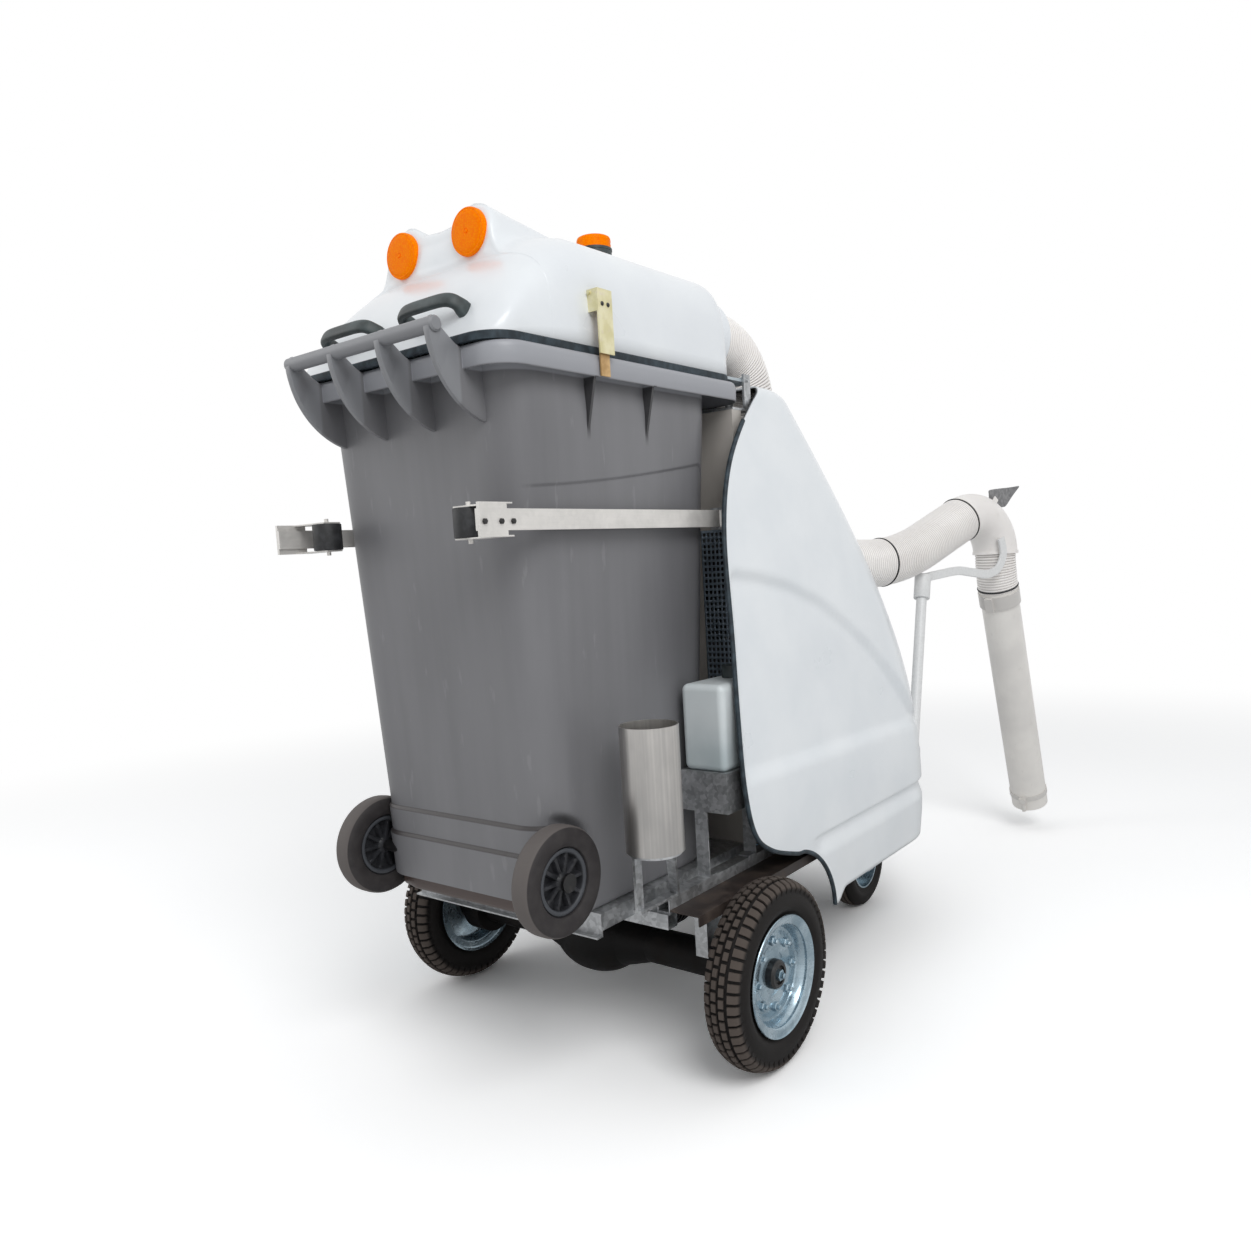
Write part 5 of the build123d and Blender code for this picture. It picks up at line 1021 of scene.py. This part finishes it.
amber, wire = finish("amber")
prism = wire.make("TexVoronoi", {"feature": "DISTANCE_TO_EDGE"}, {"Vector": wire.place(), "Scale": 210.0})
mottle = wire.noise(60.0, 3.0)
deep = (prism.ease(0.0, 0.25) * 0.6 + mottle * 0.4).mix(rgb(240, 106, 0), rgb(255, 142, 0))
# A faint emission of this amber paints a glow into the reflectors and the beacon's lens.
wire.coat(
    Base_Color=deep,
    Roughness=0.3 + 0.12 * mottle,
    Normal=prism.ease(0.0, 0.3).bump(0.12, 0.0012),
    Specular_IOR_Level=0.03,
    Emission_Color=deep,
    Emission_Strength=0.12,
)
reflector_profile = [
    (0.0, 2.0), (42.4, 2.0), (42.4, -5.0), (41.6, -8.0), (39.6, -9.4), (37.6, -9.0), (36.6, -9.6),
    (30.0, -10.4), (18.0, -10.9), (6.0, -11.0), (5.0, -11.0), (4.6, -10.0), (3.4, -10.0), (3.0, -11.6),
    (0.0, -12.2),
]
lamps = joined(*[
    turned(reflector_profile, (sign * pod_x, bin_y + pod_station, 1626.0), (0.0, 1.0, 0.0), 64)
    for sign in (-1.0, 1.0)
])
piece("round_reflectors", lamps, amber, "hood", ["reflectors"])
beacon_place = (0.0, bin_y + 512.0, 1633.0)
lens_profile = [
    (0.0, 76.0), (37.0, 76.0), (38.0, 78.0), (37.2, 82.0), (38.0, 86.0), (37.2, 90.0), (38.0, 94.0),
    (37.6, 99.0), (36.0, 102.4), (33.0, 104.0), (0.0, 104.0),
]
base_profile = [
    (0.0, -12.0), (54.0, -12.0), (54.0, 5.0), (51.0, 7.0), (42.0, 9.0), (39.6, 14.0), (39.0, 40.0),
    (39.0, 72.0), (40.2, 73.0), (40.2, 78.0), (37.0, 79.0), (0.0, 79.0),
]
piece("beacon_dome", turned(lens_profile, beacon_place, (0.0, 0.0, 1.0), 48), amber, "hood",
      ["beacon_lens"])

dark_plastic, wire = finish("dark_plastic")
pebble = wire.make("TexVoronoi", {"feature": "F1"}, {"Vector": wire.place(), "Scale": 700.0}, "Distance")
shade = wire.noise(30.0, 4.0)
wire.coat(
    Base_Color=shade.ease(0.3, 0.75).mix(rgb(38, 45, 46), rgb(68, 78, 79)),
    Roughness=0.4 + 0.2 * shade,
    Normal=pebble.bump(0.25, 0.0006),
)
piece("beacon_foot", turned(base_profile, beacon_place, (0.0, 0.0, 1.0), 48), dark_plastic, "hood",
      ["beacon_base"])

# Hood's pull handles
# Two bridge handles moulded in dark glass-filled nylon, screwed on through their feet.

slope_run = np.array([0.0, 58.0, 90.0]) / math.hypot(58.0, 90.0)
slope_out = np.array([0.0, -90.0, 58.0]) / math.hypot(58.0, 90.0)
handle_x = 113.0
handle_half = 70.0
handle_rise = 33.0
handle_up_slope = 66.0


def pull_handle(sign):
    """A bridge: a superellipse arch, its section a flat superellipse that widens into the feet."""
    turn = np.linspace(0.0, np.pi, 61)
    along = handle_half * np.sign(np.cos(turn)) * np.abs(np.cos(turn)) ** 0.42
    rise = handle_rise * np.sin(turn) ** 0.5
    foot = 1.0 - ease(rise, 2.0, 22.0)
    across = np.linspace(0.0, 2 * np.pi, 28, endpoint=False)
    ahead = np.gradient(np.stack([along, rise], -1), axis=0)
    ahead /= np.linalg.norm(ahead, axis=1)[:, None]
    wide = (12.5 + 3.0 * foot)[:, None] * np.sign(np.cos(across)) * np.abs(np.cos(across)) ** 0.7
    thick = (7.5 + 3.5 * foot)[:, None] * np.sign(np.sin(across)) * np.abs(np.sin(across)) ** 0.7
    x = sign * handle_x + along[:, None] + thick * -ahead[:, 1, None]
    up = rise[:, None] + thick * ahead[:, 0, None]
    seat = np.array([0.0, bin_y + hood_rear, hood_low]) + slope_run * handle_up_slope
    points = seat + x[..., None] * np.array([1.0, 0.0, 0.0]) + up[..., None] * slope_out
    points = points + wide[..., None] * slope_run
    ends = points[[0, -1]].mean(1, keepdims=True).repeat(len(across), 1)
    return net(np.concatenate([ends[:1], points, ends[1:]]), ring=True)


piece("bridge_handles", joined(pull_handle(-1.0), pull_handle(1.0)), dark_plastic, "hood",
      ["pull_handles"])

# Latches and hinges
# Toggle latches of pressed steel on both sides, in yellow zinc with its rainbow bloom, and strap hinges
# in plain zinc at the hood's front.


def yellow_zinc(wire):
    """Yellow passivated zinc: gold with faint pink and green bloom."""
    bloom = wire.noise(38.0, 3.0)
    drift = wire.noise(90.0, 2.0)
    gold = bloom.ease(0.35, 0.7).mix(rgb(214, 206, 158), rgb(232, 226, 190))
    return (drift.ease(0.55, 0.75) * 0.3).mix(gold, rgb(218, 204, 198)), bloom


latch_zinc, wire = finish("latch_zinc")
gold, bloom = yellow_zinc(wire)
wire.coat(
    Base_Color=gold,
    Metallic=0.3,
    Roughness=0.34 + 0.2 * bloom,
    Normal=wire.noise(240.0).bump(0.08, 0.0005),
)
strap_zinc = two_tone(
    "strap_zinc", rgb(178, 142, 92), rgb(214, 180, 130), cloud=(45.0, 3.0), spread=(0.3, 0.7),
    rough=(0.34, 0.2), grain=(240.0, 0.08, 0.0005), Metallic=0.4,
)
rivet_profile = [(0.0, -1.0), (4.0, -1.0), (4.0, 0.8), (3.2, 1.8), (1.6, 2.4), (0.0, 2.6)]
rivet_spots = [(8.0, -26.0), (-8.0, -26.0)]
for side, sign in sides:
    dress(latch_zinc, f"latch_lever_{side}")
    dress(strap_zinc, f"latch_strap_{side}")
    low, high = (np.array(corner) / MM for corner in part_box(f"latch_lever_{side}"))
    face = np.array([high[0] if sign > 0 else low[0], (low[1] + high[1]) / 2, high[2]])
    rivets = joined(*[
        turned(rivet_profile, face + (0.0, off, drop), (sign, 0.0, 0.0), 20) for off, drop in rivet_spots
    ])
    piece(f"latch_rivets_{side}", rivets, hub_black, f"latch_lever_{side}")

hood_fittings, wire = finish("hood_fittings")
gold, bloom = yellow_zinc(wire)
at_front = wire.axis(1).ease((bin_y + 380.0) * MM, (bin_y + 400.0) * MM)
wire.coat(
    Base_Color=at_front.mix(gold, rgb(178, 188, 194)),
    Metallic=0.6,
    Roughness=0.28 + 0.25 * bloom,
    Normal=wire.noise(240.0).bump(0.08, 0.0005),
)
dress(hood_fittings, "hood_hardware")

# Retaining arms
# Flat galvanised bars on upright pins, each with a folded end plate, bolted on, whose tabs hold a
# black rubber roller behind the bin's back corner.

arm_zinc = zinc("arm_zinc", rgb(206, 204, 200), rgb(230, 227, 223), 0.32, 0.1, 0.35)
dress(arm_zinc, "retaining_arm_left", "retaining_arm_right")
roller_rubber = two_tone(
    "roller_rubber", rgb(20, 21, 23), rgb(48, 49, 52), cloud=(80.0, 4.0), spread=(0.3, 0.8),
    rough=(0.42, 0.25), grain=(800.0, 0.15, 0.0004),
)
roller_profile = [
    (4.2, -24.9), (25.4, -24.9), (26.6, -24.3), (27.0, -23.2), (27.0, 23.2), (26.6, 24.3), (25.4, 24.9),
    (4.2, 24.9), (4.2, -24.9),
]
arm_face = 283.7
bolt_height = 1098.0
bolt_stations = (-145.0, -108.6, -82.0)
bolt_profile = [(0.0, -1.0), (5.0, -1.0), (5.0, 3.0), (4.2, 4.0), (0.0, 4.0)]
for side, sign in sides:
    low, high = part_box(f"arm_roller_{side}")
    middle = np.array([(low[k] + high[k]) / 2 / MM for k in range(3)])
    piece(f"rubber_roller_{side}", turned(roller_profile, middle, (0.0, 0.0, 1.0), 40), roller_rubber,
          f"roller_{side}", [f"arm_roller_{side}"])
    bolts = joined(*[
        turned(bolt_profile, (sign * arm_face, bin_y + station, bolt_height), (sign, 0.0, 0.0), 6)
        for station in bolt_stations
    ])
    piece(f"arm_bolts_{side}", bolts, hub_black, f"arm_{side}")

# Water tank and tool tube
# A blow-moulded tank of milky polyethylene with a twist cap, and an open canister cut from drawn
# aluminium tube, which shows the die's lines along it.

tank_milk, wire = finish("tank_milk")
flow = wire.noise(9.0, 4.0)
# The tank's colour darkens towards its bottom.
level = wire.axis(2).ease(0.60, 0.72)
tank_tone = level.mix(rgb(180, 192, 195), rgb(212, 219, 221))
wire.coat(
    Base_Color=(flow.ease(0.35, 0.75) * 0.4).mix(tank_tone, rgb(226, 231, 232)),
    Roughness=0.32 + 0.15 * flow,
    Normal=wire.noise(120.0).bump(0.08, 0.001),
    Subsurface_Weight=0.25,
    Subsurface_Radius=(0.02, 0.02, 0.02),
)
dress(tank_milk, "water_tank")
dress(dark_plastic, "tank_cap")

drawn_aluminium, wire = finish("drawn_aluminium")
die_line = wire.noise(170.0, 3.0, (1.0, 1.0, 0.01))
tarnish = wire.noise(12.0, 4.0, (1.0, 1.0, 0.4))
wire.coat(
    Base_Color=(die_line * 0.3 + tarnish * 0.7).ease(0.3, 0.7).mix(rgb(166, 164, 162), rgb(206, 203, 199)),
    Metallic=0.95,
    Roughness=0.26 + 0.18 * tarnish,
    Normal=die_line.bump(0.04, 0.0006),
)
dress(drawn_aluminium, "tool_tube")

# Hoses
# Wire-reinforced suction hose in warm white vinyl: fine ribs all along, pushed over its spigots and held
# by dark wire clamps. One runs from the hood to the blower, one from the cover's front to the elbow.

hose_crest = 69.0
hose_root = 65.5
rib_pitch = 7.5


def bent_line(corners, radius, spacing):
    """Straight runs between corners with a round bend at each, as evenly spaced points."""
    corners = [np.asarray(corner, float) for corner in corners]
    stretches = []
    start = corners[0]
    for before, corner, after in zip(corners, corners[1:], corners[2:]):
        into = (corner - before) / np.linalg.norm(corner - before)
        away = (after - corner) / np.linalg.norm(after - corner)
        turn = math.acos(float(np.clip(into @ away, -1.0, 1.0)))
        back = radius * math.tan(turn / 2)
        inward = (away - into) / np.linalg.norm(away - into)
        centre = corner + inward * radius / math.cos(turn / 2)
        first = corner - into * back
        stretches.append(np.linspace(start, first, 40, endpoint=False))
        angle = np.linspace(0.0, turn, 60, endpoint=False)[:, None]
        spoke = (first - centre) / radius
        stretches.append(centre + radius * (np.cos(angle) * spoke + np.sin(angle) * into))
        start = corner + away * back
    stretches.append(np.linspace(start, corners[-1], 40))
    line = np.concatenate(stretches)
    run = np.concatenate([[0.0], np.cumsum(np.linalg.norm(np.diff(line, axis=0), axis=1))])
    even = np.linspace(0.0, run[-1], max(2, int(run[-1] / spacing)))
    return np.stack([np.interp(even, run, line[:, k]) for k in range(3)], -1)


def ribbed(path, steady, crest, root, pitch, around=56):
    """A tube whose radius waves between crest and root along its length, with sharp valleys.

    Each point is marked with how near the crest it is.
    """
    run = np.concatenate([[0.0], np.cumsum(np.linalg.norm(np.diff(path, axis=0), axis=1))])
    wave = np.abs(np.sin(np.pi * run / pitch)) ** 0.6
    marks = np.repeat(np.concatenate([wave[:1], wave, wave[-1:]]), around)
    return tube(path, root + (crest - root) * wave, steady, around), marks


def vinyl(name, ribs):
    """Warm white vinyl, a little yellowed and sooty in patches; where it has ribs, shade is painted into
    their valleys.
    """
    material, wire = finish(name)
    yellowing = wire.noise(7.0, 4.0)
    tone = yellowing.ease(0.3, 0.7).mix(rgb(240, 236, 233), rgb(248, 245, 242))
    if ribs:
        # Valleys between the ribs are painted darker: painted shade.
        crest = wire.make("Attribute", {"attribute_name": "mark"}, out="Fac")
        tone = crest.ease(0.2, 0.85).mix(rgb(188, 183, 179), tone)
    soot = wire.noise(34.0, 4.0).ease(0.55, 0.85)
    wire.coat(
        Base_Color=(soot * 0.15).mix(tone, rgb(188, 182, 176)),
        Roughness=0.32 + 0.14 * yellowing,
        Normal=wire.noise(300.0).bump(0.05, 0.0006),
        Subsurface_Weight=0.12,
        Subsurface_Radius=(0.01, 0.01, 0.009),
    )
    return material


hose_vinyl = vinyl("hose_vinyl", True)
elbow_vinyl = vinyl("elbow_vinyl", False)
top_route = [(180.0, bin_y + 547.0, 1500.0), (180.0, bin_y + 825.0, 1500.0), (180.0, bin_y + 825.0, 1222.0)]
top_path = bent_line(top_route, 140.0, rib_pitch / 6)
front_route = [
    (135.0, bin_y + 1150.0, 985.0), (258.0, bin_y + 1500.0, 970.0), (347.0, bin_y + 1800.0, 1093.0),
]
runs = [np.linalg.norm(np.subtract(front_route[k + 1], front_route[k])) for k in range(2)]
legs = [np.subtract(front_route[k + 1], front_route[k]) / runs[k] for k in range(2)]
sag_turn = math.acos(float(legs[0] @ legs[1]))
sag_radius = 0.4 * min(runs) / math.tan(sag_turn / 2)
front_path = bent_line(front_route, sag_radius, rib_pitch / 6)


def hose_piece(name, hose, node):
    """A hose on no body, its place baked into its mesh, standing for its CAD node."""
    shape, marks = hose
    thing = piece(name, shape, hose_vinyl, None, [node], crease=60.0, marks=marks)
    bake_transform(thing)


top_ribs = ribbed(top_path, (1.0, 0.0, 0.0), hose_crest, hose_root, rib_pitch)
hose_piece("ribbed_top_hose", top_ribs, "top_hose")
bend_normal = np.cross(legs[0], legs[1])
bend_normal /= np.linalg.norm(bend_normal)
front_ribs = ribbed(front_path, bend_normal, hose_crest, hose_root, rib_pitch)
hose_piece("ribbed_front_hose", front_ribs, "front_hose")


def clamp(path, share, radius, width):
    """A flat ring round a hose at a share of its length."""
    place = int(share * (len(path) - 1))
    ahead = path[min(place + 1, len(path) - 1)] - path[place - 1]
    ring = [(radius - 4.0, -width), (radius + 1.5, -width), (radius + 2.2, 0.0), (radius + 1.5, width),
            (radius - 4.0, width), (radius - 4.0, -width)]
    return turned(ring, path[place], ahead, 56)


piece("cover_hose_clamp", clamp(front_path, 0.44, hose_crest, 1.5), roller_rubber, "chassis")
piece("elbow_hose_clamp", clamp(front_path, 0.985, hose_crest, 1.3), roller_rubber, "wand")

# Elbow, cuff and wand
# A smooth moulded elbow turns the hose down into a ribbed cuff, and a collar clamps the wand to it: a
# plain tube with a spray nozzle at its tip. A grey thumb lever on the elbow works the drive.

cuff_top = np.array([395.56, 873.93, 976.66])
cuff_turn = math.radians(21.0)
cuff_crest = 62.0
cuff_root = 58.5
cuff_radius = 112.0 / cuff_turn
swing = np.linspace(0.0, cuff_turn, 90)
cuff_path = np.stack([
    np.full_like(swing, cuff_top[0]),
    cuff_top[1] + cuff_radius * (1.0 - np.cos(swing)),
    cuff_top[2] - cuff_radius * np.sin(swing),
], -1)
wand_axis = np.array([0.0, math.sin(cuff_turn), -math.cos(cuff_turn)])
collar_middle = float(cuff_path[-1] @ wand_axis + 31.0) * MM
wand_plastic, wire = finish("wand_plastic")
patina = wire.noise(6.0, 4.0)
knock = wire.noise(55.0, 6.0, (1.0, 1.0, 0.3)).ease(0.64, 0.74)
down_wand = wire.make("VectorMath", {"operation": "DOT_PRODUCT"}, {0: wire.place(), 1: wand_axis}, "Value")
on_collar = down_wand.near(collar_middle, 0.0225, 0.0008)
wand_tone = patina.ease(0.3, 0.7).mix(rgb(226, 223, 219), rgb(240, 237, 232))
wand_tone = (on_collar * 0.7).mix(wand_tone, rgb(192, 189, 186))
wire.coat(
    Base_Color=(knock * 0.12).mix(wand_tone, rgb(176, 171, 164)),
    Roughness=0.3 + 0.18 * patina,
    Normal=wire.noise(200.0).bump(0.05, 0.0006),
    Coat_Weight=0.2,
)
dress(wand_plastic, "wand_tube")
dress(elbow_vinyl, "hose_elbow")
cuff_shape, cuff_marks = ribbed(cuff_path, (1.0, 0.0, 0.0), cuff_crest, cuff_root, rib_pitch)
piece("ribbed_cuff", cuff_shape, hose_vinyl, "wand", ["wand_cuff"], crease=60.0,
      marks=cuff_marks)
piece("cuff_clamp", clamp(cuff_path, 0.95, cuff_crest, 2.4), roller_rubber, "wand")

lever_grey = two_tone(
    "lever_grey", rgb(108, 108, 110), rgb(140, 140, 141), cloud=(90.0, 4.0), spread=(0.3, 0.7),
    rough=(0.4, 0.15), grain=(700.0, 0.2, 0.0004),
)
lever_seat = np.array([395.1, 872.2, 1123.9])
lever_along = np.array([0.2179, 0.7344, -0.6428])
lever_out = np.array([0.1828, 0.6163, 0.7660])
lever_pin = (-18.0, 14.0)


def laid(shape, origin, run, up):
    """A plate drawn in the side view, laid in another plane: its run, its rise and its thickness across."""
    points, quads = shape
    across = np.cross(run, up)
    return origin + (points[:, 1:2] - bin_y) * run + points[:, 2:3] * up + points[:, :1] * across, quads


paddle = plate(
    through([(-8.0, 8.0), (14.0, 15.0), (34.0, 30.0), (44.0, 46.0), (50.0, 84.0), (60.0, 134.0)], 8),
    through([(-30.0, 8.0), (-46.0, 20.0), (-50.0, 31.0), (-20.0, 62.0), (20.0, 100.0), (57.0, 137.0)], 8),
    4.6,
    0.0,
)
lever_eye = lever_seat + lever_pin[0] * lever_along + lever_pin[1] * lever_out
eye_profile = [(0.0, -5.0), (8.4, -5.0), (9.0, -4.2), (9.0, 4.2), (8.4, 5.0), (0.0, 5.0)]
paddle_lever = joined(
    laid(paddle, lever_seat, lever_along, lever_out),
    turned(eye_profile, lever_eye, np.cross(lever_along, lever_out), 32),
)
piece("paddle_lever", paddle_lever, lever_grey, "control_lever", ["drive_lever"])
dress(arm_zinc, "spray_nozzle")

# Carrier and support rod
# A steel rod on a round foot at the cover's corner has a sleeve that turns on it, with a hooked flat bar
# that holds the elbow. Both are powder-coated white.

white_paint, wire = finish("white_paint")
speck = wire.noise(150.0, 4.0)
chip = wire.noise(70.0, 6.0).ease(0.66, 0.72)
powder = speck.ease(0.2, 0.8).mix(rgb(220, 221, 221), rgb(230, 231, 231))
wire.coat(
    Base_Color=(chip * 0.3).mix(powder, rgb(170, 168, 164)),
    Roughness=0.3 + 0.15 * speck,
    Normal=speck.bump(0.08, 0.0006),
)
dress(white_paint, "suction_duct")
rod_foot = np.array([330.0, bin_y + 1410.0, 440.0])
rod_top = np.array([300.0, bin_y + 1585.0, 880.0])
rod_axis = rod_top - rod_foot
rod_length = float(np.linalg.norm(rod_axis))
rod_profile = [(0.0, -4.0), (15.0, -4.0), (15.0, rod_length - 1.0), (14.0, rod_length), (0.0, rod_length)]
foot_out = np.array([198.0, 188.0, 0.0])
foot_profile = [
    (0.0, -6.0), (30.0, -6.0), (30.0, 7.0), (28.0, 10.0), (21.0, 11.0), (17.0, 15.0), (0.0, 17.0),
]
leaning_rod = joined(
    turned(rod_profile, rod_foot, rod_axis, 40),
    turned(foot_profile, rod_foot, foot_out, 48),
)
piece("leaning_rod", leaning_rod, white_paint, "chassis", ["support_rod"])
sleeve_profile = [(15.4, -20.0), (22.5, -20.0), (23.5, -18.5), (23.5, 50.0), (22.0, 52.0), (0.0, 52.0)]
hook_seat = np.array([298.0, bin_y + 1596.0, 908.0])
hook_run = np.array([0.42436, 0.90549, 0.0])
hook_line = through([(10.0, 14.0), (70.0, 21.0), (142.0, 27.0), (200.0, 19.0), (263.0, 10.0), (311.0, 24.0),
                     (335.0, 63.0), (332.0, 100.0), (326.0, 118.0)], 8)
hook_ahead = np.gradient(hook_line, axis=0)
hook_ahead /= np.linalg.norm(hook_ahead, axis=1)[:, None]
hook_side = 13.0 * np.stack([-hook_ahead[:, 1], hook_ahead[:, 0]], -1)
hook_bar = plate(hook_line - hook_side, hook_line + hook_side, 4.5, 0.0)
hook_carrier = joined(
    turned(sleeve_profile, rod_top, rod_axis, 40),
    laid(hook_bar, hook_seat, hook_run, np.array([0.0, 0.0, 1.0])),
)
piece("hook_carrier", hook_carrier, white_paint, "wand", ["wand_carrier"])

# Floor, light and camera
# A pale studio floor under a large soft key from the upper right, a weaker fill from the left and an
# even sky, seen from behind the machine at hip height.


def white_rays(wire):
    """1 for a ray of the camera's, a mirror's or a glass's, which sees the background as plain white."""
    kinds = ("Is Camera Ray", "Is Glossy Ray", "Is Transmission Ray")
    camera, glossy, clear = (wire.make("LightPath", out=kind) for kind in kinds)
    return wire.math("MAXIMUM", camera, wire.math("MAXIMUM", glossy, clear))


floor_paint, wire = finish("floor_paint")
reach = wire.make("VectorMath", {"operation": "LENGTH"}, {0: wire.place()}, "Value")
far_away = reach.ease(2.2, 5.0) * white_rays(wire)
to_eye = wire.make("LightPath", out="Is Camera Ray")
paint = to_eye.mix((0.8, 0.8, 0.8, 1.0), (1.34, 1.34, 1.34, 1.0))
matt = wire.make("BsdfDiffuse", sockets={"Color": paint})
glow = wire.make("Emission", sockets={"Color": (1.0, 1.0, 1.0, 1.0), "Strength": 1.0})
ground = wire.make("MixShader", sockets={0: far_away, 1: matt, 2: glow})
wire.make("OutputMaterial", sockets={"Surface": ground})
floor_radius = np.linspace(0.0, 60000.0, 12)[:, None]
floor_turn = np.linspace(0.0, 2 * np.pi, 64, endpoint=False)[None, :]
floor_x = floor_radius * np.cos(floor_turn)
floor_y = floor_radius * np.sin(floor_turn)
floor_grid = np.stack([floor_x, floor_y, 0 * floor_x], -1)
floor_points, floor_quads = net(floor_grid, ring=True)
floor_mesh = bpy.data.meshes.new("floor")
floor_mesh.from_pydata((floor_points * MM).tolist(), [], floor_quads.tolist())
floor_mesh.materials.append(floor_paint)
floor = bpy.data.objects.new("floor", floor_mesh)
bpy.context.collection.objects.link(floor)

sky = bpy.data.worlds.new("sky")
sky.use_nodes = True
sky.node_tree.nodes.clear()
air = Wire(sky.node_tree)
soft_sky = air.make("Background", sockets={"Color": (0.98, 0.99, 1.0, 1.0), "Strength": 0.54})
white_sky = air.make("Background", sockets={"Color": (1.0, 1.0, 1.0, 1.0), "Strength": 1.0})
both = air.make("MixShader", sockets={0: white_rays(air), 1: soft_sky, 2: white_sky})
air.make("OutputWorld", sockets={"Surface": both})
bpy.context.scene.world = sky


def soft_lamp(name, place, aim, size, power):
    """A square area lamp that faces a point."""
    light = bpy.data.lights.new(name, "AREA")
    light.size = size
    light.energy = power
    lamp = bpy.data.objects.new(name, light)
    bpy.context.collection.objects.link(lamp)
    back = np.subtract(place, aim)
    back = back / np.linalg.norm(back)
    right = np.cross((0.0, 0.0, 1.0), back)
    right = right / np.linalg.norm(right)
    up = np.cross(back, right)
    turn = np.eye(4)
    turn[:3] = np.stack([right, up, back, place], -1)
    lamp.matrix_world = Matrix(turn.tolist())


soft_lamp("key", (3.4, -2.6, 4.2), (0.1, -0.3, 0.8), 2.6, 112.0)
soft_lamp("fill", (-3.2, -3.0, 2.6), (0.0, -0.4, 0.8), 2.6, 26.0)

eye = bpy.data.cameras.new("eye")
eye.sensor_width = 36.0
eye.lens = 28.04
eye.shift_x = -0.0122
eye.shift_y = 0.0258
viewer = bpy.data.objects.new("viewer", eye)
bpy.context.collection.objects.link(viewer)
viewer.matrix_world = Matrix((
    (0.78953, -0.01552, 0.61354, 1.42137),
    (0.61101, 0.11403, -0.78339, -2.30969),
    (-0.05780, 0.99338, 0.09950, 1.02289),
    (0.0, 0.0, 0.0, 1.0),
))
bpy.context.scene.camera = viewer
bpy.context.scene.view_settings.view_transform = "Standard"
